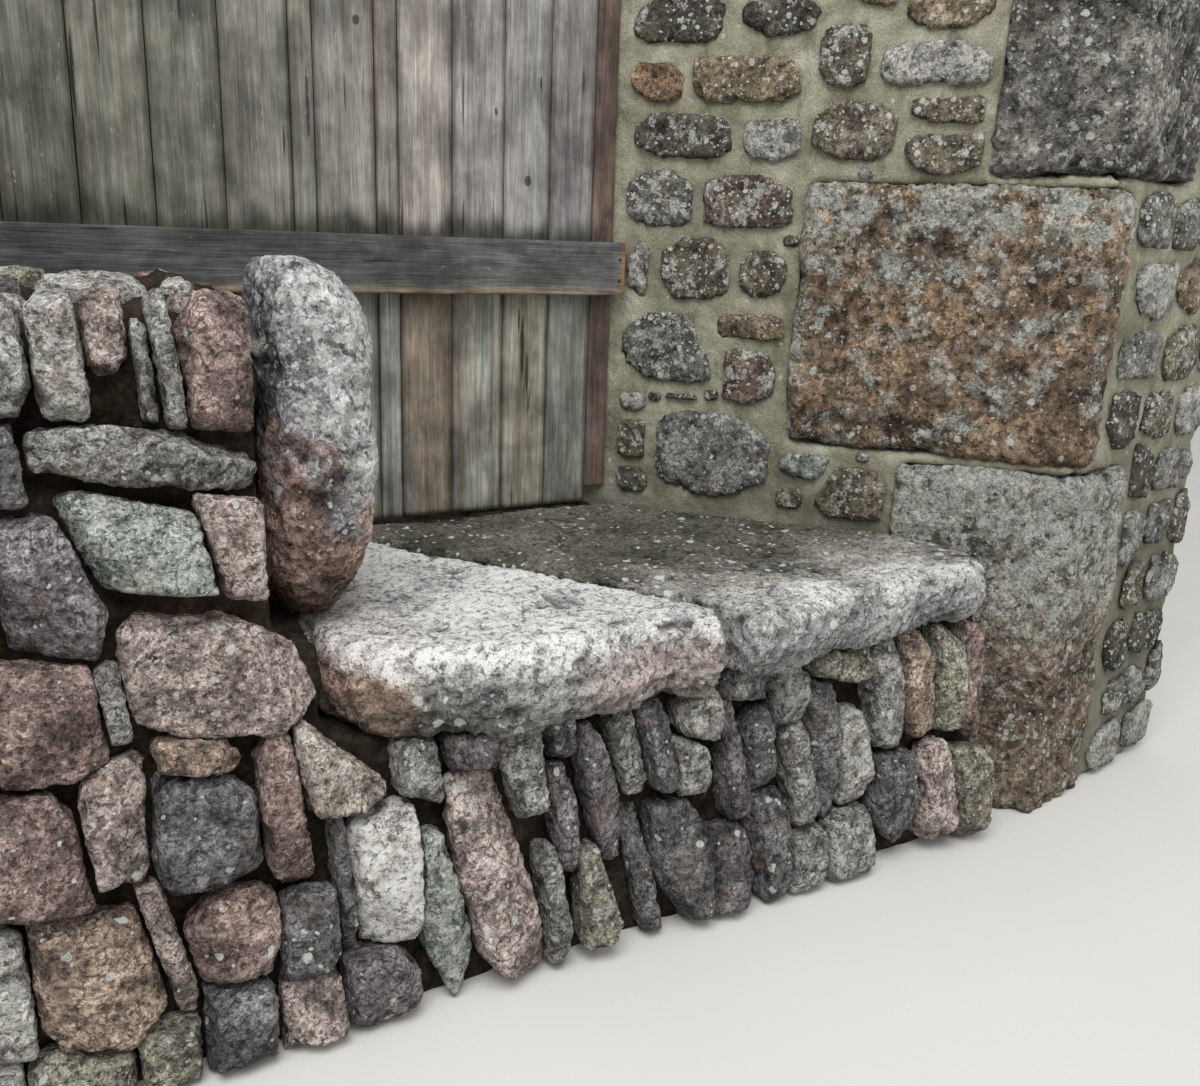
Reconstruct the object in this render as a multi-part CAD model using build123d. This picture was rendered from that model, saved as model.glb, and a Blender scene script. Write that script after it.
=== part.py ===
from build123d import *
import math
import os
import random

# All sizes are in millimetres. X runs to the right along the gate, Y away from the lane, Z up.
# Pieces are made with Y = 0 on the gate's front face and Z = 0 on the lowest ground.

# Landing: two granite slabs on a rubble base
landing_top = 660.0           # the step up from the ground
front_slab_thick = 165.0
right_slab_thick = 132.0
slab_joint = 12.0             # open joint between the two slabs
slab_clear = 2.0              # between a slab and the masonry beside it
landing_left = -318.0         # left end of the front slab
landing_right = 1195.0        # right end of the rubble base
sill_deep = 100.0             # masonry behind the slabs, under the gate
seat_gap = 0.3                # under what is laid dry on a rough bed

# Hedge: an earth and rubble core faced with stones
hedge_left = -1150.0
hedge_right = -395.0
hedge_face_foot = 775.0       # from the gate to the core's face, at the ground
hedge_top = 1165.0
hedge_crown = 50.0
batter = 0.12                 # the faces lean back by this share of their height
hedge_stone_depth = 92.0      # how far the stones stand out of the core
end_stone_depth = 62.0
back_stone_depth = 50.0
back_clear = 5.0              # the stones at its back keep this far from the gate's rail
edge_stone_rise = 48.0        # the edge-set stones stand this far above the core

# Upright boulder that ends the hedge
boulder_high = 602.0
boulder_wide = 178.0
boulder_deep = 272.0
boulder_gap = 22.0            # between it and the hedge's core
boulder_front = 702.0         # from the gate to its front
stone_clear = 3.0             # between it and the hedge's stones
shoulder_lap = 60.0           # stones whose middle is lower than this above the landing end at the slab

# House wall: meets the gate's right edge and comes forward to a corner
wall_corner_x = 617.0         # where its face crosses the gate's front face
wall_turn = 46.5              # degrees from the gate to its face
wall_run = 1090.0             # from the gate to the corner
wall_behind_gate = 150.0
wall_high = 2050.0
wall_thick = 450.0
front_turn = -12.0            # degrees from the gate to the face beyond the corner
front_run = 640.0
wall_stone_depth = 20.0       # rubble stands this far out of the mortar
quoin_proud = 14.0
quoin_bed = 260.0             # how far the quoins reach into the wall
quoin_wear = 12.0             # worn arris
quoin_joint = 26.0            # mortar between the quoins
wall_rise = wall_high - landing_top
base_quoin_left = wall_run * 0.642      # along the wall from the gate
base_quoin_round = 240.0      # round the corner
big_quoin_left = wall_run * 0.398
big_quoin_round = 60.0
big_quoin_foot = landing_top + wall_rise * 0.141
big_quoin_high = wall_rise * 0.426
upper_quoin_left = wall_run * 0.759
upper_quoin_round = 330.0
upper_quoin_drop = wall_rise * 0.108    # its top below the wall's top
wall_margin = 10.0            # between the outermost stones and the wall's edges

# Gate: upright boards, closed against the house wall
board_widths = [133.0, 133.0, 134.0, 133.0, 134.0, 48.0, 127.0, 50.0, 122.0, 123.0, 115.0, 113.0]
board_joint = 3.0
board_thick = 22.0
board_clear = 4.0             # above the sill
board_unevenness = 9.0        # the boards' feet end unevenly
board_wear = 2.5
gate_top = 1990.0
strip_wide = 56.0             # cover strip at the house wall
strip_thick = 20.0
strip_lift = 46.0             # its broken foot stands above the sill
strip_clear = 1.0             # from the wall's face
rail_foot = 1180.0
rail_high = 122.0
rail_thick = 45.0
rail_overhang = 13.0          # past the strip
rail_wear = 4.0
ledge_count = 3
ledge_high = 110.0
ledge_thick = 34.0
ledge_clear = 3.0             # from the house wall
low_ledge_rise = 136.0        # lowest ledge above the boards' feet
top_ledge_drop = 140.0        # highest ledge's foot below the boards' tops
post_wide = 75.0
post_deep = 90.0
post_clear = 1.0
hedge_back = rail_thick + back_clear + back_stone_depth     # from the gate to the hedge's core

# Rubble
dry_joint = 7.0               # least gap between neighbours laid dry
dry_fill = 1.32               # these are made this much larger than drawn, then cut back to fit
mortar_joint = 22.0           # least mortar between neighbours
mortar_fill = 1.16
boxiness = 4.6                # 2 gives oval stones, more gives squarer ones
belly_share = 0.5             # how far out a stone is fullest, as a share of its depth
tail_share = 0.96             # width of a stone where it is bedded, as a share of its belly
front_share = 0.86            # and of its front
usual_stone = (180.0, 150.0)  # length and height of a stone on plain faces
plain_stone = (290.0, 215.0)  # on the inner and rear faces
dry_laid = (dry_joint, dry_fill)
mortared = (mortar_joint, mortar_fill)

nodes = {}


# Plain solids


def prism(points, low, high):
    """Upright block on a plan outline, from one level to another."""
    outline = Polyline(*[(p[0], p[1], low) for p in points], close=True)
    return extrude(make_face(outline), high - low, dir=(0, 0, 1))


def block(x0, x1, y0, y1, z0, z1):
    return prism([(x0, y0), (x1, y0), (x1, y1), (x0, y1)], z0, z1)


def hewn(rings, split=False):
    """Solid through rings of corners on parallel planes: flat sides, split in two where they would twist."""
    faces = [Face(Wire.make_polygon(rings[0])), Face(Wire.make_polygon(rings[-1]))]
    for low, high in zip(rings, rings[1:]):
        for k in range(len(low)):
            after = (k + 1) % len(low)
            corners = [low[k], low[after], high[after], high[k]]
            for side in ([corners[:3], corners[2:] + corners[:1]] if split else [corners]):
                faces.append(Face(Wire.make_polygon(side)))
    return Solid(Shell(faces))


def save(name, solids):
    """Keep a node until the whole object is centred."""
    nodes[name] = Compound(list(solids)) if len(solids) > 1 else solids[0]


# Rubble faces: outlines are drawn on a face, cut back until neighbours keep their joint, then built


def stone_outline(stone, fill, rng):
    """Eight uneven corners from a stone's centre, width, height, slope of its bed and lean of its sides."""
    x, z, wide, high, bed, lean = stone
    along = (math.cos(math.radians(bed)), math.sin(math.radians(bed)))
    up = (-math.sin(math.radians(lean)), math.cos(math.radians(lean)))
    points = []
    for corner in range(8):
        a = math.radians(45 * corner + 22.5 + rng.uniform(-12, 12))
        c, s = math.cos(a), math.sin(a)
        r = fill * (abs(c) ** boxiness + abs(s) ** boxiness) ** (-1 / boxiness)
        p, q = wide / 2 * r * c, high / 2 * r * s
        points.append((x + p * along[0] + q * up[0], z + p * along[1] + q * up[1]))
    return points


def box_outline(stone):
    x, z, wide, high = stone[:4]
    return [(x - wide / 2, z - high / 2), (x + wide / 2, z - high / 2),
            (x + wide / 2, z + high / 2), (x - wide / 2, z + high / 2)]


def reach(points, axis):
    """Lowest and highest point of an outline along an axis."""
    shadow = [p[0] * axis[0] + p[1] * axis[1] for p in points]
    return min(shadow), max(shadow)


def low_side(points, axis, limit):
    """What is left of an outline on the low side of a straight cut across the axis."""
    left = []
    for here, there in zip(points, points[1:] + points[:1]):
        a = here[0] * axis[0] + here[1] * axis[1] - limit
        b = there[0] * axis[0] + there[1] * axis[1] - limit
        if a <= 0:
            left.append(here)
        if a * b < 0:
            t = a / (a - b)
            left.append((here[0] + (there[0] - here[0]) * t, here[1] + (there[1] - here[1]) * t))
    return left


def parting(one, other, outline_one, outline_other):
    """The widest gap between two neighbours, and the axis that it lies along."""
    axes = [(other[0] - one[0], other[1] - one[1])]
    for stone in (one, other):
        for angle in (stone[4], stone[5] + 90):
            axes.append((-math.sin(math.radians(angle)), math.cos(math.radians(angle))))
    best = None
    for axis in axes:
        size = math.hypot(*axis)
        towards = 1 if axis[0] * (other[0] - one[0]) + axis[1] * (other[1] - one[1]) >= 0 else -1
        axis = (axis[0] / size * towards, axis[1] / size * towards)
        gap = reach(outline_other, axis)[0] - reach(outline_one, axis)[1]
        if best is None or gap > best[0]:
            best = (gap, axis)
    return best


def fitted_outlines(stones, fixed, bond, seed, limits):
    """Outlines of a face's stones: neighbours share an overlap equally, fixed blocks give no way."""
    joint, fill = bond
    rng = random.Random(seed)
    shapes = [stone_outline(stone, fill, rng) for stone in stones] + [box_outline(stone) for stone in fixed]
    everything = stones + fixed
    fitted = []
    for i, stone in enumerate(stones):
        outline = shapes[i]
        for j, other in enumerate(everything):
            if i == j:
                continue
            gap, axis = parting(stone, other, shapes[i], shapes[j])
            if gap < joint:
                share = 0.5 if j < len(stones) else 1.0
                outline = low_side(outline, axis, reach(shapes[i], axis)[1] - share * (joint - gap))
        for axis, limit in limits(stone):
            outline = low_side(outline, axis, limit)
        fitted.append(outline)
    return fitted


def plain_corners(points, least=7.0):
    """The outline without corners that lie almost on each other."""
    kept = []
    for p in points:
        if not kept or math.dist(p, kept[-1]) > least:
            kept.append(p)
    while len(kept) > 3 and math.dist(kept[0], kept[-1]) <= least:
        kept.pop()
    return kept


def rubble_stone(face, outline, depth, rng):
    """A stone seated on a face: a narrower tail, a full belly and a smaller front, shifted a little."""
    points = plain_corners(outline)
    cx = sum(p[0] for p in points) / len(points)
    cz = sum(p[1] for p in points) / len(points)
    wide = reach(points, (1, 0))[1] - reach(points, (1, 0))[0]
    high = reach(points, (0, 1))[1] - reach(points, (0, 1))[0]
    shift = (rng.uniform(-0.06, 0.06) * wide, rng.uniform(-0.06, 0.06) * high)
    front = depth * rng.uniform(0.76, 1.0)
    rings = []
    for level, size, slide in ((0.0, tail_share, 0.0), (front * belly_share, 1.0, 0.0), (front, front_share, 1.0)):
        ring = [(cx + (p[0] - cx) * size + shift[0] * slide, cz + (p[1] - cz) * size + shift[1] * slide, level)
                for p in points]
        rings.append([face.from_local_coords(p) for p in ring])
    return hewn(rings)


def rubble(face, stones, depth, bond, seed, fixed, limits):
    """All stones of one face, as solids that keep a joint between them."""
    outlines = fitted_outlines(list(stones), list(fixed), bond, seed, limits)
    rng = random.Random(seed + 1)
    return [rubble_stone(face, outline, depth, rng) for outline in outlines]


def stretched(stones, left, right, foot, top):
    """A drawn face of stones, spread to fill a face from side to side and from foot to top."""
    low_x = min(s[0] - s[2] / 2 for s in stones)
    high_x = max(s[0] + s[2] / 2 for s in stones)
    low_z = min(s[1] - s[3] / 2 for s in stones)
    high_z = max(s[1] + s[3] / 2 for s in stones)
    kx = (right - left) / (high_x - low_x)
    kz = (top - foot) / (high_z - low_z)
    return [(left + (s[0] - low_x) * kx, foot + (s[1] - low_z) * kz, s[2] * kx, s[3] * kz,
             *(s[4:] or (0, 0))) for s in stones]


def courses(left, right, foot, top, long, tall, seed, fixed=()):
    """Rough level courses over a face, from a usual stone's length and height, clear of fixed blocks."""
    rng = random.Random(seed)
    rows = max(1, round((top - foot) / tall))
    high = (top - foot) / rows
    stones = []
    for row in range(rows):
        z = foot + high * (row + 0.5)
        x = left - long * rng.uniform(0, 0.5)
        while x < right:
            wide = long * rng.uniform(0.6, 1.4)
            a, b = max(x, left), min(x + wide, right)
            centre = ((a + b) / 2, z + high * rng.uniform(-0.1, 0.1))
            taken = any(abs(centre[0] - f[0]) < f[2] / 2 + mortar_joint
                        and abs(centre[1] - f[1]) < f[3] / 2 + mortar_joint for f in fixed)
            if b - a > long * 0.35 and not taken:
                stones.append((*centre, b - a, high * rng.uniform(0.8, 1.0), rng.uniform(-5, 5), rng.uniform(-5, 5)))
            x += wide
    return stones


def every(groups):
    return [stone for stones in groups.values() for stone in stones]


def deal_out(groups, solids):
    """Save a face's solids by group, in the order in which the groups list their stones."""
    start = 0
    for name, stones in groups.items():
        save(name, solids[start:start + len(stones)])
        start += len(stones)


def cut_at(angle, x, z):
    """A straight cut through a point of a face, square to an angle from level: its axis and limit."""
    axis = (math.cos(math.radians(angle)), math.sin(math.radians(angle)))
    return axis, x * axis[0] + z * axis[1]


def framed(left, right, foot, top):
    """Cuts that keep stones inside the edges of their face."""
    return [cut_at(180, left, 0), cut_at(0, right, 0), cut_at(270, 0, foot), cut_at(90, 0, top)]


# Leaning face that the hedge and the landing's front share

face_stretch = math.hypot(1, batter)    # length along the face for each unit of height
lean_face = Plane(origin=(0, -hedge_face_foot, 0), x_dir=(1, 0, 0), z_dir=(0, -1, batter))


def face_y(z):
    """Y of the leaning face at a level."""
    return -hedge_face_foot + batter * z


def leaning_mass(x0, x1, top, back, crown=0.0):
    """Rubble or earth behind the leaning face, from one end to another, with a level or crowned top."""
    ends = [(face_y(0), 0), (face_y(top), top), ((face_y(top) + back) / 2, top + crown), (back, top), (back, 0)]
    if crown == 0:
        ends.pop(2)
    side = Polyline(*[(x0, y, z) for y, z in ends], close=True)
    return extrude(make_face(side), x1 - x0, dir=(1, 0, 0))


save("hedge_core", [leaning_mass(hedge_left, hedge_right, hedge_top, -hedge_back, hedge_crown)])

# House wall, in plan

wall_dir = Vector(math.cos(math.radians(wall_turn)), -math.sin(math.radians(wall_turn)), 0)
wall_out = Vector(wall_dir.Y, -wall_dir.X, 0)
front_dir = Vector(math.cos(math.radians(front_turn)), -math.sin(math.radians(front_turn)), 0)
front_out = Vector(front_dir.Y, -front_dir.X, 0)
wall_start = Vector(wall_corner_x, 0, 0)
house_corner = wall_start + wall_dir * wall_run
half_bend = math.radians((wall_turn - front_turn) / 2)
corner_out = (wall_out + front_out).normalized() * (1 / math.cos(half_bend))
inner_corner = house_corner - corner_out * wall_thick


def on_wall(s, out):
    """Plan point by its distance along the house wall from the gate, and out of its face."""
    return wall_start + wall_dir * s + wall_out * out


def on_front(s, out):
    """Plan point by its distance beyond the house's corner, and out of the face there."""
    return house_corner + front_dir * s + front_out * out


def plan(points):
    return [(p.X, p.Y) for p in points]


def is_outside(p):
    """Whether a point of a quoin stands out of the wall and above the ground."""
    out = max((p - wall_start).dot(wall_out), (p - house_corner).dot(front_out))
    return out > quoin_proud / 2 and p.Z > quoin_proud / 2


def quoin(left, round_corner, foot, high):
    """Corner block, from a point along the wall round to a point along the front, with worn arrises."""
    body = prism(plan([on_wall(left, -quoin_bed), on_wall(left, quoin_proud), house_corner + corner_out * quoin_proud,
                       on_front(round_corner, quoin_proud), on_front(round_corner, -quoin_bed * 0.8)]),
                 foot, foot + high)
    worn = [e for e in body.edges() if all(is_outside(p) for p in e.positions([0, 1]))]
    return chamfer(worn, quoin_wear)


upper_quoin_foot = big_quoin_foot + big_quoin_high + quoin_joint
quoins = {
    "base_quoin": (base_quoin_left, base_quoin_round, 0.0, big_quoin_foot - quoin_joint),
    "big_quoin": (big_quoin_left, big_quoin_round, big_quoin_foot, big_quoin_high),
    "upper_quoin": (upper_quoin_left, upper_quoin_round, upper_quoin_foot,
                    wall_high - upper_quoin_drop - upper_quoin_foot),
}
side_core = prism(plan([on_wall(-wall_behind_gate, 0), house_corner, inner_corner,
                        on_wall(-wall_behind_gate, -wall_thick)]), 0, wall_high)
front_core = prism(plan([house_corner, on_front(front_run, 0), on_front(front_run, -wall_thick), inner_corner]),
                   0, wall_high)
for name, sizes in quoins.items():
    body = quoin(*sizes)
    save(name, [body])
    side_core -= body
    front_core -= body
save("side_wall_core", [side_core])
save("front_wall_core", [front_core])

# Rubble of the house wall: centre along the face, centre above the ground, width and height of each stone

wall_groups = {
    "wall_lower_stones": [
        (120, 1058, 226, 158), (296, 1125, 176, 66), (308, 1006, 132, 122), (28, 923, 62, 50), (155, 952, 76, 38),
        (36, 832, 76, 100), (234, 816, 275, 190), (40, 734, 76, 66), (470, 806, 118, 58), (590, 742, 170, 120)],
    "wall_middle_stones": [
        (78, 1410, 172, 116), (286, 1402, 214, 112), (32, 1244, 46, 115), (176, 1250, 164, 140),
        (330, 1244, 104, 97), (128, 1548, 220, 92), (334, 1542, 142, 89), (508, 1562, 178, 114),
        (718, 1606, 146, 66), (720, 1518, 172, 78)],
    "wall_upper_stones": [
        (105, 1790, 190, 104), (330, 1800, 168, 78), (486, 1714, 130, 118), (684, 1812, 180, 84),
        (62, 1664, 118, 78), (272, 1674, 250, 104), (678, 1692, 244, 88), (120, 1920, 200, 90),
        (352, 1926, 150, 100), (540, 1880, 150, 120), (740, 1925, 140, 90)],
    "wall_top_stones": [
        (110, 2014, 190, 56), (300, 2016, 150, 52), (480, 2010, 170, 64), (670, 2016, 170, 54),
        (850, 1994, 150, 88), (1010, 1990, 130, 92)],
}
side_face = Plane(origin=wall_start, x_dir=wall_dir, z_dir=wall_out)
front_face = Plane(origin=house_corner, x_dir=front_dir, z_dir=front_out)
side_inner_face = Plane(origin=inner_corner, x_dir=-wall_dir, z_dir=-wall_out)
front_inner_face = Plane(origin=on_front(front_run, -wall_thick), x_dir=-front_dir, z_dir=-front_out)
side_blocks = [((left + wall_run) / 2, foot + high / 2, wall_run - left, high, 0, 0)
               for left, _, foot, high in quoins.values()]
front_blocks = [(far / 2, foot + high / 2, far, high, 0, 0) for _, far, foot, high in quoins.values()]

side_frame = (rail_overhang, wall_run - wall_margin, landing_top + 2 * wall_margin, wall_high - wall_margin)
side_stones = stretched(every(wall_groups), *side_frame)
deal_out(wall_groups, rubble(side_face, side_stones, wall_stone_depth, mortared, 21, side_blocks,
                             lambda stone: framed(*side_frame)))
plain_faces = [
    ("front_wall_stones", front_face, front_run, usual_stone, 12, front_blocks),
    ("side_inner_stones", side_inner_face, (inner_corner - on_wall(-wall_behind_gate, -wall_thick)).length,
     plain_stone, 14, []),
    ("front_inner_stones", front_inner_face, (on_front(front_run, -wall_thick) - inner_corner).length,
     plain_stone, 15, []),
]
for name, face, run, sizes, seed, blocks in plain_faces:
    frame = (wall_margin, run - wall_margin, wall_margin, wall_high - wall_margin)
    stones = courses(*frame, *sizes, seed, blocks)
    save(name, rubble(face, stones, wall_stone_depth, mortared, seed + 20, blocks, lambda stone: framed(*frame)))

# Gate: a closed boarded gate between its post and the house wall

wall_lean = 1 / math.tan(math.radians(wall_turn))     # how far the wall comes over the gate for each step back
strip_right = wall_corner_x - strip_thick * wall_lean - strip_clear
boards_right = strip_right - strip_wide - board_joint
rng = random.Random(5)
boards = []
right = boards_right
for width in reversed(board_widths):
    left = right - width + board_joint
    foot = landing_top + board_clear + rng.uniform(0, board_unevenness)
    board = block(left, right, 0, board_thick, foot, gate_top)
    boards.append(chamfer(board.edges().filter_by(Axis.Z), board_wear))
    right = left - board_joint
boards_left = right + board_joint
save("gate_boards", boards)
save("gate_strip", [block(boards_right + board_joint, strip_right, 0, strip_thick, landing_top + strip_lift, gate_top)])
post_right = boards_left - post_clear
post_left = post_right - post_wide
save("gate_left_post", [block(post_left, post_right, 0, post_deep, landing_top, gate_top)])
rail = block(post_left, strip_right + rail_overhang, -rail_thick, 0, rail_foot, rail_foot + rail_high)
save("gate_rail", [chamfer(rail.edges().filter_by(Axis.X).sort_by(Axis.Y)[:2], rail_wear)])
ledge_right = wall_corner_x - (board_thick + ledge_thick) * wall_lean - ledge_clear
lowest_ledge = landing_top + board_clear + low_ledge_rise
highest_ledge = gate_top - top_ledge_drop
for count in range(ledge_count):
    level = lowest_ledge + (highest_ledge - lowest_ledge) * count / (ledge_count - 1)
    save("gate_back_ledge_%d" % (count + 1),
         [block(boards_left, ledge_right, board_thick, board_thick + ledge_thick, level, level + ledge_high)])

# Slabs: the front one ends at a bent joint, and the right one is cut to it and to the house wall

front_bed = landing_top - front_slab_thick
right_bed = landing_top - right_slab_thick
slab_back = -slab_clear
open_edge, nose, end_edge, close_edge = 1.0, 0.6, 0.5, 0.15     # how strongly an edge is cut back and worn
joint_turn = math.radians(34)                                   # from X to square across the joint
joint_line = [(-140, slab_back), (62, -305), (258, -575), (346, -705), (410, -798)]
right_joint = [(x + slab_joint * math.cos(joint_turn), min(y + slab_joint * math.sin(joint_turn), slab_back))
               for x, y in joint_line]
front_outline = [
    ([(landing_left, slab_back)], end_edge),
    ([(landing_left, -612), (-272, -728), (-188, -806), (-29, -853), (132, -842), (300, -818)], open_edge),
    ([(372, -858)], nose),
    (joint_line[:0:-1], close_edge),
    (joint_line[:1], 0.0),
]
right_outline = [
    (right_joint[1:-1], close_edge),
    (right_joint[-1:], nose),
    ([(442, -880), (560, -874), (700, -838), (835, -816), (950, -800), (1060, -806)], open_edge),
    (plan([on_wall(base_quoin_left + 211, 143)]), open_edge),
    (plan([on_wall(base_quoin_left + 182, 62)]), nose),
    (plan([on_wall(base_quoin_left + 106, 2 * quoin_proud), on_wall(base_quoin_left - 8, quoin_proud + 2 * slab_clear),
           on_wall(base_quoin_left - 22, 2 * slab_clear)]), close_edge),
    ([(wall_corner_x, slab_back)], 0.0),
    ([(right_joint[0][0], slab_back)], close_edge),
]


def inset(points, distances):
    """An outline with each edge moved in by its own distance."""
    area = sum(a[0] * b[1] - b[0] * a[1] for a, b in zip(points, points[1:] + points[:1]))
    turn = 1 if area > 0 else -1
    lines = []
    for a, b, distance in zip(points, points[1:] + points[:1], distances):
        size = math.dist(a, b) * turn
        normal = ((a[1] - b[1]) / size, (b[0] - a[0]) / size)
        lines.append((normal, a[0] * normal[0] + a[1] * normal[1] + distance))
    moved = []
    for k in range(len(points)):
        (n, c), (m, d) = lines[k - 1], lines[k]
        cross = n[0] * m[1] - n[1] * m[0]
        moved.append(((c * m[1] - d * n[1]) / cross, (d * n[0] - c * m[0]) / cross))
    return moved


def slab(outline, thick):
    """Granite slab: level top, edges worn round above and cut back below, each by its own share."""
    points = [p for run, _ in outline for p in run]
    shares = [share for run, share in outline for _ in run]
    rings = []
    for level, back in ((1.0, 34.0), (0.84, 14.0), (0.55, 0.0), (0.22, 2.0), (0.08, 9.0), (0.0, 28.0)):
        ring = inset(points, [back * share for share in shares])
        rings.append([(x, y, landing_top - thick * level) for x, y in ring])
    return hewn(rings)


save("front_slab", [slab(front_outline, front_slab_thick)])
save("right_slab", [slab(right_outline, right_slab_thick)])

# Landing core: rubble under both slabs, a shoulder beside the front one, and the sill under the gate

low_core = leaning_mass(hedge_right, landing_right, front_bed, sill_deep)
raised = prism([(right_joint[0][0], 0), *right_joint[1:], (right_joint[-1][0], -hedge_face_foot),
                (landing_right, -hedge_face_foot), (landing_right, 0)], front_bed, right_bed)
raised &= leaning_mass(hedge_right, landing_right, right_bed, sill_deep)
shoulder = leaning_mass(hedge_right, landing_left - slab_clear, landing_top, sill_deep)
sill = block(hedge_right, landing_right, 0, sill_deep, 0, landing_top)
house_side = prism(plan([on_wall(-wall_behind_gate - sill_deep, 0), on_wall(2 * wall_run, 0),
                         on_wall(2 * wall_run, -3 * wall_run),
                         on_wall(-wall_behind_gate - sill_deep, -3 * wall_run)]), 0, wall_high)
save("landing_core", [(low_core + sill + shoulder + raised) - house_side - nodes["base_quoin"]])
save("gate_sill", [block(post_left, hedge_right, 0, sill_deep, 0, landing_top)])

# Upright boulder: straight on the hedge's side, its crown falling to the right, on a blunt foot set back

boulder_rings = [
    # level, width and depth as shares of the boulder's own, and the ring's shifts to the right and back
    (0.00, 0.42, 0.46, -0.02, 0.20), (0.05, 0.60, 0.62, -0.03, 0.15), (0.14, 0.80, 0.80, -0.02, 0.08),
    (0.28, 0.95, 0.94, -0.01, 0.03), (0.48, 1.00, 1.00, 0.00, 0.00), (0.78, 0.99, 0.96, 0.00, 0.00),
    (0.90, 0.88, 0.86, -0.05, 0.01), (0.96, 0.68, 0.70, -0.13, 0.02), (1.00, 0.40, 0.44, -0.21, 0.03)]
boulder_corners = 14
boulder_boxiness = 2.6
boulder_x = hedge_right + boulder_gap + boulder_wide / 2
boulder_y = boulder_deep / 2 - boulder_front
rng = random.Random(3)
corners = []
for corner in range(boulder_corners):
    a = 2 * math.pi * (corner + rng.uniform(-0.2, 0.2)) / boulder_corners
    c, s = math.cos(a), math.sin(a)
    r = (abs(c) ** boulder_boxiness + abs(s) ** boulder_boxiness) ** (-1 / boulder_boxiness) / 2
    corners.append((r * c, r * s))
rings = []
for level, wide, deep, right, back in boulder_rings:
    z = landing_top + seat_gap + boulder_high * level
    rings.append([(boulder_x + boulder_wide * (right + wide * x), boulder_y + boulder_deep * (back + deep * y), z)
                  for x, y in corners])
save("end_boulder", [hewn(rings, split=True)])

# Stones of the leaning face: centre, width, height, slope of the bed and lean of the sides of each

hedge_groups = {
    "hedge_edge_stones": [
        (-590, 1160, 60, 100, 0, 3), (-548, 1100, 34, 130, 0, 4), (-508, 1110, 44, 170, 0, 5),
        (-445, 1105, 104, 165, -3, -2), (-655, 1110, 68, 150, 0, 4), (-733, 1115, 74, 150, 0, -3),
        (-815, 1115, 70, 150, 0, 4), (-893, 1112, 76, 155, 0, 2), (-975, 1115, 74, 150, 0, 5),
        (-1055, 1112, 76, 155, 0, -4), (-1122, 1115, 52, 150, 0, 0)],
    "hedge_upper_stones": [
        (-556, 968, 280, 98, -7, 0), (-742, 975, 90, 125, -4, 3), (-885, 978, 170, 110, -3, 0),
        (-1060, 972, 150, 115, 2, 0), (-572, 856, 205, 128, -17, 12), (-432, 836, 118, 160, -10, 7),
        (-702, 806, 122, 195, -10, 4), (-845, 836, 150, 150, -4, 6), (-980, 830, 95, 170, 0, 3),
        (-1092, 828, 110, 160, 3, 0)],
    "hedge_middle_stones": [
        (-454, 658, 277, 180, -7, 0), (-622, 620, 58, 110, 0, 7), (-718, 602, 138, 180, -9, 3),
        (-806, 668, 56, 88, -6, 0), (-884, 640, 92, 190, -4, 2), (-1046, 688, 200, 92, -3, 4),
        (-1030, 588, 190, 88, 2, 0), (-517, 522, 96, 60, -9, 8), (-517, 394, 140, 180, -6, -2),
        (-637, 448, 88, 185, -4, -3), (-753, 412, 128, 186, -10, 6), (-866, 440, 84, 180, -4, 3),
        (-980, 478, 132, 112, -5, 0), (-1102, 470, 92, 130, 3, 0), (-1030, 372, 210, 82, 2, 0)],
    "hedge_lower_stones": [
        (-690, 220, 158, 205, -9, 2), (-586, 228, 62, 210, -8, 13), (-480, 232, 126, 150, -6, -2),
        (-820, 222, 100, 180, -8, -3), (-944, 268, 132, 112, -4, 3), (-1080, 254, 130, 140, 0, 0),
        (-930, 168, 116, 80, 2, 0), (-1066, 146, 150, 62, 2, 0), (-718, 62, 140, 100, -4, 0),
        (-595, 58, 95, 100, -4, 0),
        (-488, 76, 108, 128, -4, 0), (-850, 66, 110, 100, -3, 0), (-975, 62, 128, 100, 0, 0),
        (-1095, 62, 100, 100, 0, 0)],
}
base_groups = {
    "base_left_stones": [
        (-392, 396, 86, 230, -6, 2), (-312, 478, 150, 180, -8, 6), (-384, 205, 92, 160, -5, -4),
        (-236, 262, 118, 236, -3, -1), (-314, 270, 44, 220, 0, 2), (-380, 62, 96, 120, -3, 0),
        (-268, 72, 110, 140, -4, 4), (-168, 420, 84, 110, -4, 4), (-148, 160, 72, 250, 0, 10)],
    "base_middle_stones": [
        (-34, 210, 132, 370, 0, 13), (-84, 440, 84, 92, -3, 5), (14, 400, 90, 150, 0, 2),
        (88, 290, 66, 200, 0, 8), (104, 440, 80, 100, 0, 4), (160, 320, 76, 240, 0, 15),
        (60, 120, 76, 190, 0, 4), (150, 120, 88, 150, 0, 0), (230, 384, 52, 150, 0, 5),
        (290, 388, 64, 170, 0, 12), (262, 150, 52, 250, 0, 8), (346, 150, 96, 230, 0, 13),
        (396, 426, 78, 92, 0, 4), (360, 320, 70, 120, 0, 6)],
    "base_right_stones": [
        (498, 474, 84, 82, 0, 0), (470, 316, 56, 230, 0, 6), (452, 96, 88, 180, 0, 2), (546, 320, 78, 150, 0, 0),
        (596, 432, 84, 126, 0, 2), (556, 130, 84, 210, 0, 5), (640, 250, 64, 210, 0, 8), (706, 300, 70, 280, 0, 5),
        (650, 74, 90, 130, 0, 0), (748, 468, 128, 88, 0, 2), (792, 250, 84, 190, 0, 3), (768, 78, 110, 140, 0, 0),
        (870, 380, 82, 230, 0, 4), (905, 160, 108, 180, 0, 4), (962, 400, 76, 210, 0, 8), (1046, 390, 74, 230, 0, 3),
        (1022, 150, 96, 190, 0, 2), (1122, 380, 66, 250, 0, 5), (1124, 120, 92, 200, 0, 3)],
}
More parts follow.
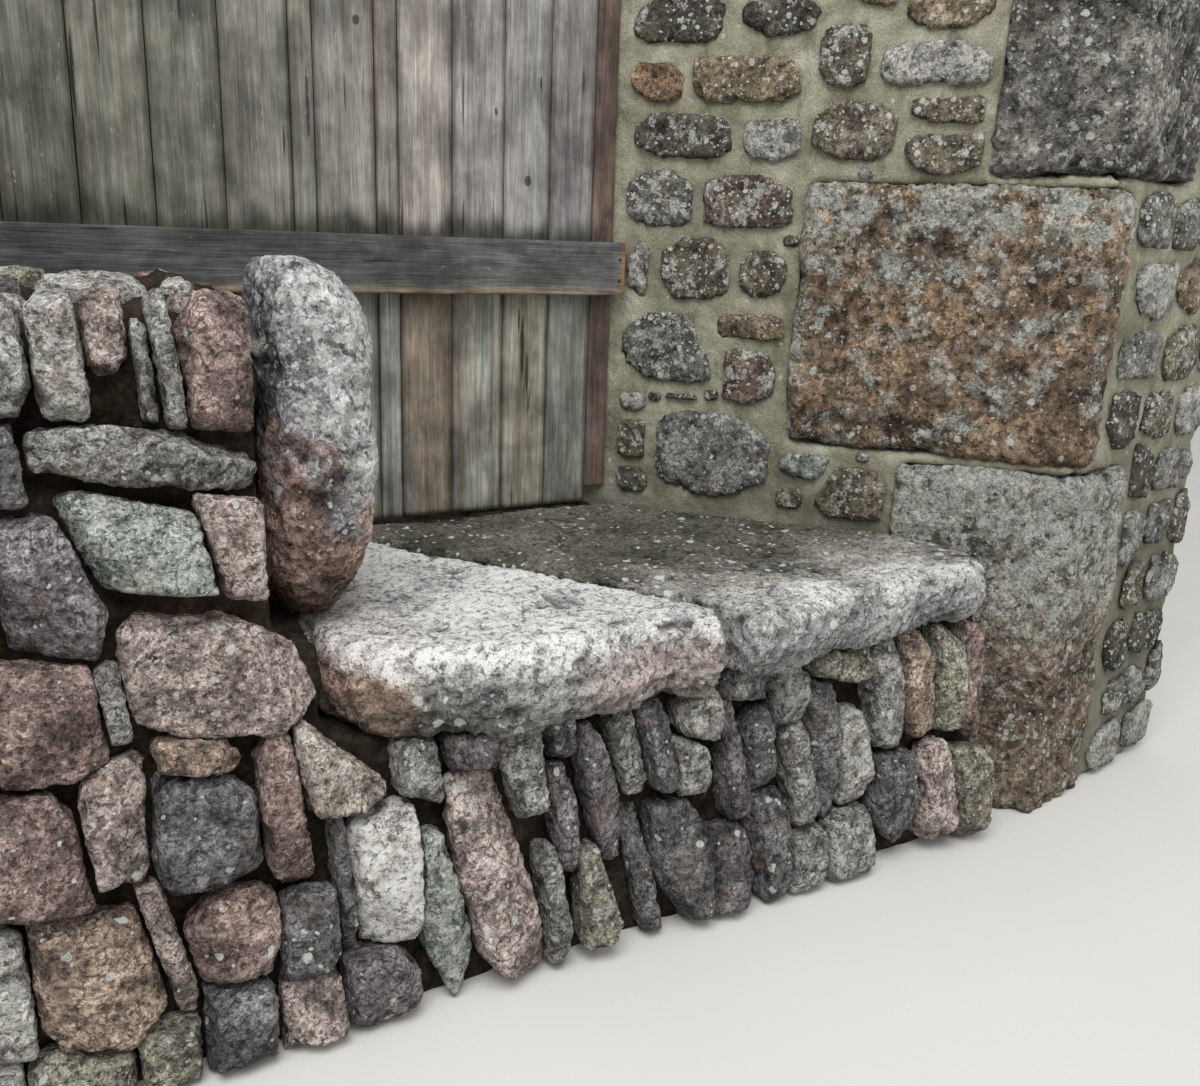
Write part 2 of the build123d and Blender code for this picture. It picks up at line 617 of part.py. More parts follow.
stone_foot = 4.0              # lowest edge of the stones on the ground course
base_lap = 36.0               # the landing's stones run this far into the hedge
end_inset = 25.0              # the last stone stops short of the landing's right end
lifted_top = 73.0             # top of the tallest drawn stone, above the front slab's bed
end_stone_cut = 58.0          # slope of the cut beside the front slab's end, from X
corner_cut = 45.0             # and under its corner
corner_back = 24.0            # from the slab's end to where its edge reaches the stones
hedge_brow = (hedge_top + edge_stone_rise) * face_stretch


def seat(bed):
    """Height along the leaning face up to which a stone stays under a slab, out to the stone's front."""
    return (bed - seat_gap) * face_stretch - hedge_stone_depth * batter


def lane_cuts(stone):
    """Cuts that end a stone of the leaning face at the hedge's edges, the boulder and the slabs."""
    x, z = stone[:2]
    cuts = framed(hedge_left, landing_right - end_inset, stone_foot, hedge_brow)
    if z > landing_top + shoulder_lap:
        cuts.append(cut_at(0, hedge_right - stone_clear, 0))
    elif z > front_bed:
        cuts.append(cut_at(0, landing_left - slab_clear, 0))
        cuts.append(cut_at(end_stone_cut, landing_left - slab_clear, landing_top - 2 * stone_clear))
    elif x < landing_left + slab_joint:
        cuts.append(cut_at(corner_cut, landing_left + corner_back, seat(front_bed)))
    else:
        cuts.append(cut_at(90, 0, seat(front_bed if x < joint_line[-1][0] else right_bed)))
    return cuts


hedge_stones = stretched(every(hedge_groups), hedge_left, landing_left, stone_foot, hedge_brow)
base_stones = stretched(every(base_groups), hedge_right - base_lap, landing_right - end_inset, stone_foot,
                        front_bed + lifted_top)
lane_stones = rubble(lean_face, hedge_stones + base_stones, hedge_stone_depth, dry_laid, 7, [], lane_cuts)
deal_out({**hedge_groups, **base_groups}, lane_stones)

# Stones of the hedge's ends and back, and of the landing's right end

hedge_deep = hedge_face_foot - hedge_back
left_face = Plane(origin=(hedge_left, -hedge_back, 0), x_dir=(0, -1, 0), z_dir=(-1, 0, 0))
back_face = Plane(origin=(hedge_right, -hedge_back, 0), x_dir=(-1, 0, 0), z_dir=(0, 1, 0))
lean_cut = cut_at(math.degrees(math.atan(batter)), hedge_deep, 0)
left_frame = (stone_foot, hedge_deep, stone_foot, hedge_top)
left_stones = courses(*left_frame, *plain_stone, 51)
save("hedge_left_stones", rubble(left_face, left_stones, back_stone_depth, dry_laid, 52, [],
                                 lambda stone: framed(*left_frame) + [lean_cut]))
back_frame = (stone_foot, hedge_right - hedge_left, stone_foot, hedge_top)
back_stones = courses(*back_frame, *plain_stone, 53)
save("hedge_back_stones", rubble(back_face, back_stones, back_stone_depth, dry_laid, 54, [],
                                 lambda stone: framed(*back_frame)))
end_face = Plane(origin=(hedge_right, 0, 0), x_dir=(0, 1, 0), z_dir=(1, 0, 0))
end_frame = (boulder_deep - boulder_front + stone_clear, -hedge_back, landing_top + seat_gap, hedge_top)
end_stones = courses(*end_frame, *usual_stone, 55)
save("hedge_end_stones", rubble(end_face, end_stones, end_stone_depth, dry_laid, 56, [],
                                lambda stone: framed(*end_frame)))

# The origin goes to the middle of the object's footprint, on the ground

boxes = [shape.bounding_box() for shape in nodes.values()]
low = [min(tuple(box.min)[k] for box in boxes) for k in range(3)]
high = [max(tuple(box.max)[k] for box in boxes) for k in range(3)]
centre = Vector((low[0] + high[0]) / 2, (low[1] + high[1]) / 2, low[2])
os.makedirs("parts", exist_ok=True)
for name, shape in nodes.items():
    export_step(Pos(-centre) * shape, os.path.join("parts", name + ".step"))
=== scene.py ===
import bpy
import bmesh
import math
import random
from mathutils import Matrix, Vector, noise


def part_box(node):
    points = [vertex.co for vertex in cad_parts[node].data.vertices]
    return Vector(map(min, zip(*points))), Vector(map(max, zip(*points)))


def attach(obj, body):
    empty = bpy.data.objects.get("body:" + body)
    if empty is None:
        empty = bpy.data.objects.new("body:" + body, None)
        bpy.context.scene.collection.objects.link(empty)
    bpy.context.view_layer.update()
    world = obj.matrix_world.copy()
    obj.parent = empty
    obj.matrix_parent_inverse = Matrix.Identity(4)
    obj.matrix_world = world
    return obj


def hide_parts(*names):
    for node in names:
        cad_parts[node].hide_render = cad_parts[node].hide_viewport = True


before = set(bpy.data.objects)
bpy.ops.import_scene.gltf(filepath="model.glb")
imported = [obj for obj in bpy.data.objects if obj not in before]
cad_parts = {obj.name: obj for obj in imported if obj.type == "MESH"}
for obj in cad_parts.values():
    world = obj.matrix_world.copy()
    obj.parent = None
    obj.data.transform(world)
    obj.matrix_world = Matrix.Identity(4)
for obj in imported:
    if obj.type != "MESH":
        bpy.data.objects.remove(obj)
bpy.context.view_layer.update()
print("frame loaded:", len(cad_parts), "nodes")

# The stile was set out from the foot of the gate's front face
setOut = {"stripRight": 0.59702, "ground": 0.0}  # the cover strip's right edge, and the lowest ground
origin = Vector((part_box("gate_strip")[1].x - setOut["stripRight"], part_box("gate_boards")[0].y,
                 setOut["ground"]))


# Camera at the photographer's height, looking down and a little to the right
cameraValues = {"place": (-0.734, -2.363, 1.310), "heading": 29.3, "down": 15.6, "roll": 2.1, "lens": 32.7}


def placeCamera(values):
    heading, down, roll = (math.radians(values[key]) for key in ("heading", "down", "roll"))
    ahead = Vector((math.sin(heading) * math.cos(down), math.cos(heading) * math.cos(down), -math.sin(down)))
    level = Vector((math.cos(heading), -math.sin(heading), 0))
    upright = level.cross(ahead)
    right = level * math.cos(roll) + upright * math.sin(roll)
    top = upright * math.cos(roll) - level * math.sin(roll)
    data = bpy.data.cameras.new("camera")
    data.lens = values["lens"]
    camera = bpy.data.objects.new("camera", data)
    bpy.context.scene.collection.objects.link(camera)
    camera.matrix_world = Matrix.Translation(origin + Vector(values["place"])) @ Matrix(
        (right, top, -ahead)).transposed().to_4x4()
    bpy.context.scene.camera = camera


placeCamera(cameraValues)


# Light: a bright overcast sky, one broad soft lamp above the lane and a faint one at the right
skyValues = {"colour": (0.96, 0.98, 1.0, 1), "strength": 0.62, "backdrop": 0.93}
lampValues = {
    "skyLamp": {"place": (-1.7, -2.8, 5.0), "aim": (0.2, -0.3, 0.8), "watts": 206.0, "size": 3.6},
    "fillLamp": {"place": (3.6, -3.6, 2.6), "aim": (0.0, -0.2, 0.8), "watts": 28.0, "size": 3.0}}


def areaLamp(name, values):
    data = bpy.data.lights.new(name, "AREA")
    data.energy = values["watts"]
    data.shape = "DISK"
    data.size = values["size"]
    lamp = bpy.data.objects.new(name, data)
    bpy.context.scene.collection.objects.link(lamp)
    lamp.location = values["place"]
    aim = Vector(values["aim"]) - Vector(values["place"])
    lamp.rotation_euler = aim.to_track_quat("-Z", "Y").to_euler()


def skyLight(values):  # what is seen behind the stile is paler than what lights it
    world = bpy.data.worlds.new("studio")
    world.use_nodes = True
    nodes, links = world.node_tree.nodes, world.node_tree.links
    light = nodes["Background"]
    light.inputs["Color"].default_value = values["colour"]
    light.inputs["Strength"].default_value = values["strength"]
    seen = nodes.new("ShaderNodeBackground")
    seen.inputs["Color"].default_value = (values["backdrop"],) * 3 + (1,)
    rays = nodes.new("ShaderNodeLightPath")
    shown = nodes.new("ShaderNodeMath")
    shown.operation = "MAXIMUM"
    links.new(rays.outputs["Is Camera Ray"], shown.inputs[0])
    links.new(rays.outputs["Is Glossy Ray"], shown.inputs[1])
    either = nodes.new("ShaderNodeMixShader")
    links.new(shown.outputs[0], either.inputs["Fac"])
    links.new(light.outputs[0], either.inputs[1])
    links.new(seen.outputs[0], either.inputs[2])
    links.new(either.outputs[0], nodes["World Output"].inputs["Surface"])
    bpy.context.scene.world = world


skyLight(skyValues)
for name, values in lampValues.items():
    areaLamp(name, values)
bpy.context.scene.view_settings.view_transform = "Standard"
print("camera and light set")


# Materials are wired by small calls, each of which adds a node


def rgb(red, green, blue):  # a colour as seen on screen, as the linear values that a shader takes
    shares = (red / 255, green / 255, blue / 255)
    return tuple(c / 12.92 if c <= 0.04045 else ((c + 0.055) / 1.055) ** 2.4 for c in shares) + (1.0,)


class Finish:
    def __init__(self, name, roughness=0.9, gloss=0.2):
        self.material = bpy.data.materials.new(name)
        self.material.use_nodes = True
        self.nodes = self.material.node_tree.nodes
        self.links = self.material.node_tree.links
        self.shader = self.nodes["Principled BSDF"]
        self.shader.inputs["Roughness"].default_value = roughness
        self.shader.inputs["Specular IOR Level"].default_value = gloss
        self.place = self.nodes.new("ShaderNodeTexCoord").outputs["Object"]

    def node(self, kind, inputs, **settings):  # each input is a number, a colour or another node's output
        made = self.nodes.new("ShaderNode" + kind)
        for name, value in settings.items():
            setattr(made, name, value)
        for key, value in inputs.items():
            if isinstance(value, bpy.types.NodeSocket):
                self.links.new(value, made.inputs[key])
            else:
                made.inputs[key].default_value = value
        return made

    def stretched(self, scale, shift=(0, 0, 0)):
        return self.node("Mapping", {"Vector": self.place, "Scale": scale, "Location": shift}).outputs[0]

    def clouds(self, size, detail=4.0, roughness=0.55, place=None, twist=0.0):
        inputs = {"Vector": place or self.place, "Scale": 1 / size, "Detail": detail,
                  "Roughness": roughness, "Distortion": twist}
        return self.node("TexNoise", inputs).outputs["Fac"]

    def crystals(self, size, place=None, feature="F1", out="Color"):
        inputs = {"Vector": place or self.place, "Scale": 1 / size}
        return self.node("TexVoronoi", inputs, feature=feature).outputs[out]

    def warped(self, size, amount):  # places pushed about, so that patterns lose their even shapes
        push = self.node("TexNoise", {"Vector": self.place, "Scale": 1 / size, "Detail": 1.0})
        inputs = {0: push.outputs["Color"], 1: (amount, amount, amount), 2: self.place}
        return self.node("VectorMath", inputs, operation="MULTIPLY_ADD").outputs[0]

    def dots(self, size, radius, share, place):  # round spots, in a share of the cells
        cells = self.node("TexVoronoi", {"Vector": place, "Scale": 1 / size})
        there = self.sum("LESS_THAN", self.channel(cells.outputs["Color"]), share)
        return self.times(self.between(cells.outputs["Distance"], radius, radius * 0.7), there)

    def channel(self, colour):  # one random number for each crystal
        return self.node("SeparateColor", {0: colour}).outputs[0]

    def steps(self, value, *stops):
        node = self.node("ValToRGB", {"Fac": value})
        band = node.color_ramp
        while len(band.elements) < len(stops):
            band.elements.new(0.5)
        for element, (at, colour) in zip(band.elements, stops):
            element.position = at
            element.color = colour if isinstance(colour, tuple) else (colour, colour, colour, 1)
        return node.outputs["Color"]

    def between(self, value, low, high, start=0.0, end=1.0):
        inputs = {"Value": value, "From Min": low, "From Max": high, "To Min": start, "To Max": end}
        return self.node("MapRange", inputs, interpolation_type="SMOOTHSTEP").outputs["Result"]

    def blend(self, share, one, other, kind="MIX"):
        inputs = {"Factor": share, 6: one, 7: other}
        return self.node("Mix", inputs, data_type="RGBA", blend_type=kind).outputs[2]

    def sum(self, kind, one, other=0.0):
        return self.node("Math", {0: one, 1: other}, operation=kind).outputs[0]

    def times(self, one, other):
        return self.sum("MULTIPLY", one, other)

    def carried(self, name, out="Color"):  # what a mesh carries for each of its points
        return self.node("Attribute", {}, attribute_name=name).outputs[out]

    def axis(self, which):  # a point's own X, Y or Z
        return self.node("SeparateXYZ", {0: self.place}).outputs[which]

    def facing(self, which):
        return self.node("SeparateXYZ", {0: self.node("NewGeometry", {}).outputs["Normal"]}).outputs[which]

    def spot(self, place, radii):  # a knot or a split, by its middle and half its size
        centre = origin + Vector(place) + Vector((0.002, 0.002, 0.002))
        away = self.node("VectorMath", {0: self.warped(0.02, 0.004), 1: centre}, operation="SUBTRACT")
        share = self.node("VectorMath", {0: away.outputs[0], 1: radii}, operation="DIVIDE")
        far = self.node("VectorMath", {0: share.outputs[0]}, operation="LENGTH")
        return self.between(far.outputs["Value"], 1.2, 0.7)

    def relief(self, height, depth, normal=None):
        inputs = {"Distance": depth, "Strength": 1.0, "Height": height}
        if normal:
            inputs["Normal"] = normal
        return self.node("Bump", inputs).outputs[0]

    def done(self, colour, normal=None):
        self.links.new(colour, self.shader.inputs["Base Color"])
        if normal:
            self.links.new(normal, self.shader.inputs["Normal"])
        return self.material


def granite(name, values):
    # Rough granite: patches, crystals, pits, cracks, rust and lichen over the colour that each stone
    # carries, with painted shade on the faces that turn downward
    finish = Finish(name, 0.9)
    tint, lichenShare = finish.carried("tint"), finish.carried("tint", "Alpha")
    patches = finish.clouds(values["patch"], 4, 0.62, twist=0.5)
    tone = finish.between(patches, 0.3, 0.7, *values["patchRange"])
    bent = finish.warped(*values["bend"])
    grain = finish.channel(finish.crystals(values["crystal"], bent))
    tone = finish.times(tone, finish.between(grain, 0.0, 1.0, *values["grainRange"]))
    specks = finish.between(finish.clouds(values["speck"], 1, 0.7), 0.3, 0.7, *values["speckRange"])
    tone = finish.times(tone, specks)
    pits = finish.between(finish.clouds(values["pitSize"], 3, 0.65), 0.52, 0.66)
    tone = finish.times(tone, finish.between(pits, 0.0, 1.0, 1.0, values["pitShade"]))
    wandering = finish.warped(*values["crackBend"])
    seams = finish.crystals(values["crack"], wandering, "DISTANCE_TO_EDGE", "Distance")
    broken = finish.between(finish.clouds(values["crackGap"], 1, 0.5), 0.46, 0.6)
    cracks = finish.times(finish.between(seams, 0.05, 0.0), broken)
    tone = finish.times(tone, finish.between(cracks, 0.0, 1.0, 1.0, values["crackShade"]))
    colour = finish.blend(1.0, tint, tone, "MULTIPLY")
    colour = finish.blend(1.0, colour, rgb(*values["palest"]), "DARKEN")  # no crystal is whiter than this
    rust = finish.clouds(values["rustSize"], 3, 0.65, finish.stretched((1, 1, 1), shift=(3, 1, 7)))
    rust = finish.times(finish.between(rust, 0.54, 0.7), values["rust"])
    colour = finish.blend(rust, colour, rgb(*values["rustColour"]))
    reach = finish.times(lichenShare, values["lichenSpan"])
    start = finish.sum("SUBTRACT", values["lichenStart"], reach)
    spread = finish.clouds(values["lichenSize"], 5, 0.72, finish.stretched((1, 1, 1), shift=(9, 4, 2)))
    crust = finish.between(spread, start, finish.sum("ADD", start, values["lichenEdge"]))
    crustColour = finish.steps(finish.clouds(values["crustGrain"], 1, 0.6), (0.3, rgb(*values["crustDark"])),
                               (0.7, rgb(*values["crustPale"])))
    colour = finish.blend(finish.times(crust, values["lichen"]), colour, crustColour)
    amount = finish.times(lichenShare, values["dots"])
    spots = finish.sum("MAXIMUM", finish.dots(values["dotSize"], 0.34, amount, bent),
                       finish.dots(values["dotSize"] * 0.45, 0.36, amount, bent))
    spots = finish.times(spots, values["dotCover"])
    colour = finish.blend(spots, colour, rgb(*values["dotColour"]))
    # Painted shade: faces that turn downward are darkened in the colour, as far as the underShade share
    down = finish.between(finish.facing(2), -0.9, 0.25, values["underShade"], 1.0)
    colour = finish.blend(1.0, colour, down, "MULTIPLY")
    height = finish.sum("SUBTRACT", finish.clouds(values["relief"], 5, 0.72),
                        finish.times(pits, values["pitSink"]))
    return finish.done(colour, finish.relief(height, values["depth"]))


# Sizes are in metres, and ranges and shades are shares of a stone's own colour
graniteValues = {"bend": (0.014, 0.012), "patch": 0.07, "patchRange": (0.6, 1.95), "crystal": 0.005,
                 "grainRange": (0.62, 1.4), "speck": 0.0034, "speckRange": (0.72, 1.34),
                 "palest": (238, 237, 233), "pitSize": 0.011, "pitShade": 0.42, "pitSink": 0.35,
                 "relief": 0.014, "depth": 0.0132,
                 "crack": 0.07, "crackBend": (0.06, 0.09), "crackGap": 0.07, "crackShade": 0.45,
                 "rustSize": 0.09, "rust": 0.35, "rustColour": (142, 121, 108), "underShade": 0.6,
                 "lichenSize": 0.034, "lichen": 0.85, "lichenStart": 0.74, "lichenSpan": 0.28,
                 "lichenEdge": 0.05, "crustGrain": 0.006, "crustDark": (146, 148, 139),
                 "crustPale": (216, 217, 209),
                 "dotSize": 0.026, "dots": 0.25, "dotCover": 0.88, "dotColour": (210, 213, 205)}
rubbleGranite = granite("rubbleGranite", graniteValues)
wallGranite = granite("wallGranite", {
    **graniteValues, "patch": 0.05, "patchRange": (0.6, 1.5), "grainRange": (0.74, 1.25),
    "speckRange": (0.76, 1.28), "pitShade": 0.5, "rustColour": (134, 118, 96), "crackShade": 0.7,
    "dotSize": 0.023, "dots": 0.5})
slabGranite = granite("slabGranite", {
    **graniteValues, "patchRange": (0.82, 1.2), "grainRange": (0.72, 1.2), "speckRange": (0.72, 1.25),
    "pitSize": 0.012, "pitShade": 0.4, "crack": 0.16, "rust": 0.0, "lichen": 0.5, "dotSize": 0.034,
    "dots": 0.4, "depth": 0.0066})
boulderGranite = granite("boulderGranite", {
    **graniteValues, "patch": 0.03, "patchRange": (0.7, 1.6), "crystal": 0.008, "grainRange": (0.6, 1.4),
    "pitSize": 0.014, "rust": 0.0, "lichenSize": 0.022, "lichen": 1.0, "lichenSpan": 0.27, "dotSize": 0.028,
    "dots": 0.8, "crackShade": 0.8})
quoinGranite = granite("quoinGranite", {
    **graniteValues, "patch": 0.045, "patchRange": (0.6, 1.7), "crystal": 0.009, "grainRange": (0.62, 1.36),
    "pitSize": 0.018, "rust": 0.3, "rustColour": (126, 106, 86), "lichenSize": 0.032, "lichen": 0.95,
    "lichenSpan": 0.3, "dots": 0.4, "crackShade": 0.85, "depth": 0.0198})


def earth(name, values):
    # Packed earth: soft lumps with dark and pale grit
    finish = Finish(name, 0.96, 0.1)
    lumps = finish.clouds(values["lump"], 4, 0.7)
    colour = finish.steps(lumps, (0.3, rgb(*values["dark"])), (0.72, rgb(*values["pale"])))
    bits = finish.channel(finish.crystals(values["grit"]))
    shades = finish.steps(bits, (0.0, 0.2), (0.8, 0.5), (1.0, 0.95))
    colour = finish.blend(values["gritShare"], colour, shades, "OVERLAY")
    return finish.done(colour, finish.relief(lumps, values["depth"]))


earthValues = {"lump": 0.03, "dark": (24, 20, 16), "pale": (70, 60, 50), "grit": 0.009, "gritShare": 0.5,
               "depth": 0.012}
hedgeEarth = earth("hedgeEarth", earthValues)
packedEarth = earth("packedEarth", {**earthValues, "dark": (24, 21, 18), "pale": (66, 58, 49)})


mortarValues = {"patch": 0.11, "dark": (116, 115, 97), "middle": (147, 145, 125), "pale": (178, 175, 157),
                "sand": 0.003, "sandRange": (0.66, 1.38), "stainSize": 0.07, "stain": 0.65,
                "stainColour": (96, 97, 80), "dampTop": 0.95, "dampFull": 0.55, "damp": 0.55,
                "dampColour": (86, 86, 75), "spot": 0.022, "spots": 0.06, "spotCover": 0.8,
                "spotColour": (186, 190, 178), "wave": 0.06, "waveDepth": 0.012, "lump": 0.02,
                "depth": 0.008}


def mortar(values):
    # Lime mortar: smeared patches, sand, damp stains and small pale spots of lichen
    finish = Finish("limeMortar", 0.95, 0.1)
    dark, medium, pale = (rgb(*values[key]) for key in ("dark", "middle", "pale"))
    patches = finish.clouds(values["patch"], 4, 0.6, twist=0.4)
    colour = finish.steps(patches, (0.3, dark), (0.5, medium), (0.72, pale))
    sand = finish.between(finish.clouds(values["sand"], 2, 0.75), 0.25, 0.75, *values["sandRange"])
    colour = finish.blend(1.0, colour, sand, "MULTIPLY")
    stain = finish.clouds(values["stainSize"], 4, 0.7, finish.stretched((1, 1, 0.5), shift=(5, 2, 8)))
    stain = finish.times(finish.between(stain, 0.52, 0.7), values["stain"])
    colour = finish.blend(stain, colour, rgb(*values["stainColour"]))
    low = finish.between(finish.axis(2), values["dampTop"], values["dampFull"], 0.0, values["damp"])
    colour = finish.blend(low, colour, rgb(*values["dampColour"]))
    spots = finish.dots(values["spot"], 0.26, values["spots"], finish.warped(0.012, 0.009))
    spots = finish.times(spots, values["spotCover"])
    colour = finish.blend(spots, colour, rgb(*values["spotColour"]))
    waves = finish.relief(finish.clouds(values["wave"], 1, 0.5), values["waveDepth"])
    return finish.done(colour, finish.relief(finish.clouds(values["lump"], 5, 0.72), values["depth"], waves))


limeMortar = mortar(mortarValues)


def timber(name, values):
    # Weathered timber: grain, checks, knots and splits along a piece, over the colour that it carries
    finish = Finish(name, 0.85, 0.2)
    along = finish.stretched(values["along"])
    streaks = finish.clouds(values["streak"], 4, 0.65, along, 0.4)
    tone = finish.between(streaks, 0.25, 0.75, *values["streakRange"])
    fine = finish.clouds(values["fine"], 2, 0.6, along)
    tone = finish.times(tone, finish.between(fine, 0.3, 0.7, *values["fineRange"]))
    patches = finish.clouds(values["patch"], 3, 0.6)
    tone = finish.times(tone, finish.between(patches, 0.3, 0.7, *values["patchRange"]))
    blots = finish.clouds(values["blot"], 4, 0.65, finish.stretched(values["across"], shift=(6, 3, 9)), 0.5)
    tone = finish.times(tone, finish.between(blots, 0.3, 0.7, *values["blotRange"]))
    checks = finish.clouds(values["check"], 2, 0.5, finish.stretched(values["checkAlong"], shift=(2, 7, 5)))
    checks = finish.between(checks, 0.66, 0.73)
    for place, radii in values["marks"]:
        checks = finish.sum("MAXIMUM", checks, finish.spot(place, radii))
    tone = finish.times(tone, finish.between(checks, 0.0, 1.0, 1.0, values["checkShade"]))
    colour = finish.blend(1.0, finish.carried("tint"), tone, "MULTIPLY")
    flecks = finish.clouds(values["fleck"], 4, 0.75, finish.stretched(values["across"], shift=(4, 1, 3)))
    worn = finish.times(finish.between(flecks, 0.62, 0.7), finish.carried("tint", "Alpha"))
    colour = finish.blend(worn, colour, rgb(*values["fleckColour"]))
    ridges = finish.sum("ADD", streaks, finish.times(fine, values["fineRidge"]))
    return finish.done(colour, finish.relief(ridges, values["depth"]))


# Splits and knots in the boards, by their places and half sizes, right through the thickness
boardMarks = [((0.362, 0.0, 1.06), (0.005, 9, 0.075)), ((0.374, 0.0, 1.0), (0.004, 9, 0.05)),
              ((0.352, 0.0, 1.12), (0.003, 9, 0.03)), ((0.37, 0.0, 1.43), (0.009, 9, 0.012)),
              ((0.29, 0.0, 1.57), (0.004, 9, 0.008)), ((-0.02, 0.0, 1.72), (0.008, 9, 0.01)),
              ((0.4, 0.0, 1.64), (0.003, 9, 0.014))]
timberValues = {"streak": 0.011, "streakRange": (0.74, 1.3), "fine": 0.003, "fineRange": (0.82, 1.2),
                "fineRidge": 0.4, "patch": 0.12, "patchRange": (0.72, 1.4), "blot": 0.04,
                "blotRange": (0.74, 1.3), "check": 0.016, "checkShade": 0.28, "fleck": 0.009, "depth": 0.003}
boardTimber = timber("boardTimber", {
    **timberValues, "along": (1, 1, 0.035), "checkAlong": (1, 1, 0.05), "across": (1, 1, 0.3),
    "marks": boardMarks, "fleckColour": (156, 154, 146)})
railTimber = timber("railTimber", {
    **timberValues, "along": (0.04, 1, 1), "checkAlong": (0.05, 1, 1), "across": (0.5, 1, 1), "marks": [],
    "fleckColour": (138, 132, 122)})
print("materials wired")


# Shapes: copies of the set-out solids, worn and roughened


def eased(value, low, high):
    share = min(max((value - low) / (high - low), 0.0), 1.0)
    return share * share * (3 - 2 * share)


def setOutShape(node):
    shape = bmesh.new()
    shape.from_mesh(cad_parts[node].data)
    bmesh.ops.remove_doubles(shape, verts=shape.verts, dist=0.0002)
    return shape


def solidsOf(node):  # corner points of each separate solid of a node
    shape = setOutShape(node)
    left = set(shape.verts)
    solids = []
    for first in shape.verts:
        if first not in left:
            continue
        left.remove(first)
        heap = [first]
        found = []
        while heap:
            vert = heap.pop()
            found.append(vert.co.copy())
            for edge in vert.link_edges:
                other = edge.other_vert(vert)
                if other in left:
                    left.remove(other)
                    heap.append(other)
        solids.append(found)
    shape.free()
    return sorted(solids, key=lambda points: (round(sum(p.x for p in points) / len(points), 4), points[0].z))


def middle(points):
    return sum(points, Vector()) / len(points)


def hull(points):
    shape = bmesh.new()
    for point in points:
        shape.verts.new(point)
    made = bmesh.ops.convex_hull(shape, input=shape.verts)
    inside = [g for g in made["geom_interior"] if isinstance(g, bmesh.types.BMVert)]
    bmesh.ops.delete(shape, geom=inside, context="VERTS")
    return shape


def chipped(points, dice, values, out):
    # A block with corners and arrises broken off all round, and flat breaks across the face that is seen
    span = max((a - b).length for a in points for b in points)
    for chip in range(values["chips"] + values["breaks"]):
        toward = Vector((dice.gauss(0, 1), dice.gauss(0, 1), dice.gauss(0, 1))).normalized()
        depth = values["chipDepth"]
        if chip >= values["chips"]:
            toward = (out + toward * values["breakTurn"]).normalized()
            depth = values["breakDepth"]
        far = max(toward.dot(p) for p in points)
        cut = far - span * dice.uniform(*values["chipRange"]) * depth
        shape = hull(points)
        bmesh.ops.bisect_plane(shape, geom=shape.verts[:] + shape.edges[:] + shape.faces[:], dist=0.0001,
                               plane_co=toward * cut, plane_no=toward, clear_outer=True)
        points = [v.co.copy() for v in shape.verts]
        shape.free()
    return points


def remeshed(shape, voxel):
    data = bpy.data.meshes.new("rough")
    shape.to_mesh(data)
    shape.free()
    rough = bpy.data.objects.new("rough", data)
    bpy.context.scene.collection.objects.link(rough)
    step = rough.modifiers.new("voxels", "REMESH")
    step.mode = "VOXEL"
    step.voxel_size = voxel
    done = bpy.data.meshes.new_from_object(rough.evaluated_get(bpy.context.evaluated_depsgraph_get()))
    bpy.data.objects.remove(rough)
    bpy.data.meshes.remove(data)
    fine = bmesh.new()
    fine.from_mesh(done)
    bpy.data.meshes.remove(done)
    return fine


wearAndShadeValues = {"sharpBelow": 0.05, "crest": 0.45, "fall": 1.7, "paintedReliefShade": 1.6, "darkest": 0.25, "levelFrom": 0.4,
              "levelTo": 0.85}


def roughened(shape, bumps, sides=1.0):
    # Bumps are sizes and heights, the finer ones with sharp crests. The colour is darkened in the hollows
    # and lightened on the crests, as painted shade and painted light, and the sides may be rougher than the
    # top
    shape.normal_update()
    layer = shape.verts.layers.float_color["tint"]
    most = sum(height for size, height in bumps)
    moves = []
    for vert in shape.verts:
        push = 0.0
        for size, height in bumps:
            value = noise.noise(vert.co / size + Vector((0, size * 900, 0)))
            if size <= wearAndShadeValues["sharpBelow"]:
                value = wearAndShadeValues["crest"] - wearAndShadeValues["fall"] * abs(value)
            push += height * value
        # Painted shade in the hollows and painted light on the crests, following the bumps
        light = max(wearAndShadeValues["darkest"], 1 + wearAndShadeValues["paintedReliefShade"] * push / most)
        vert[layer] = (*[c * light for c in vert[layer][:3]], vert[layer][3])
        push *= sides + (1 - sides) * eased(vert.normal.z, wearAndShadeValues["levelFrom"], wearAndShadeValues["levelTo"])
        moves.append(vert.co + vert.normal * push)
    for vert, place in zip(shape.verts, moves):
        vert.co = place
        vert.co.z = max(place.z, 0.0)  # nothing reaches below the ground


def piece(name, shape, material, nodes=()):
    data = bpy.data.meshes.new(name)
    bmesh.ops.recalc_face_normals(shape, faces=shape.faces)
    shape.to_mesh(data)
    triangles = sum(len(face.verts) - 2 for face in shape.faces)
    shape.free()
    data.shade_smooth()
    data.materials.append(material)
    made = bpy.data.objects.new(name, data)
    bpy.context.scene.collection.objects.link(made)
    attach(made, "root")
    if nodes:
        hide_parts(*nodes)
    print(name, triangles, "triangles")


def added(whole, part):  # part's faces go into whole
    data = bpy.data.meshes.new("part")
    part.to_mesh(data)
    part.free()
    whole.from_mesh(data)
    bpy.data.meshes.remove(data)


apart = 4.0  # stones are lifted this far from each other while they are remeshed, so that none fuse


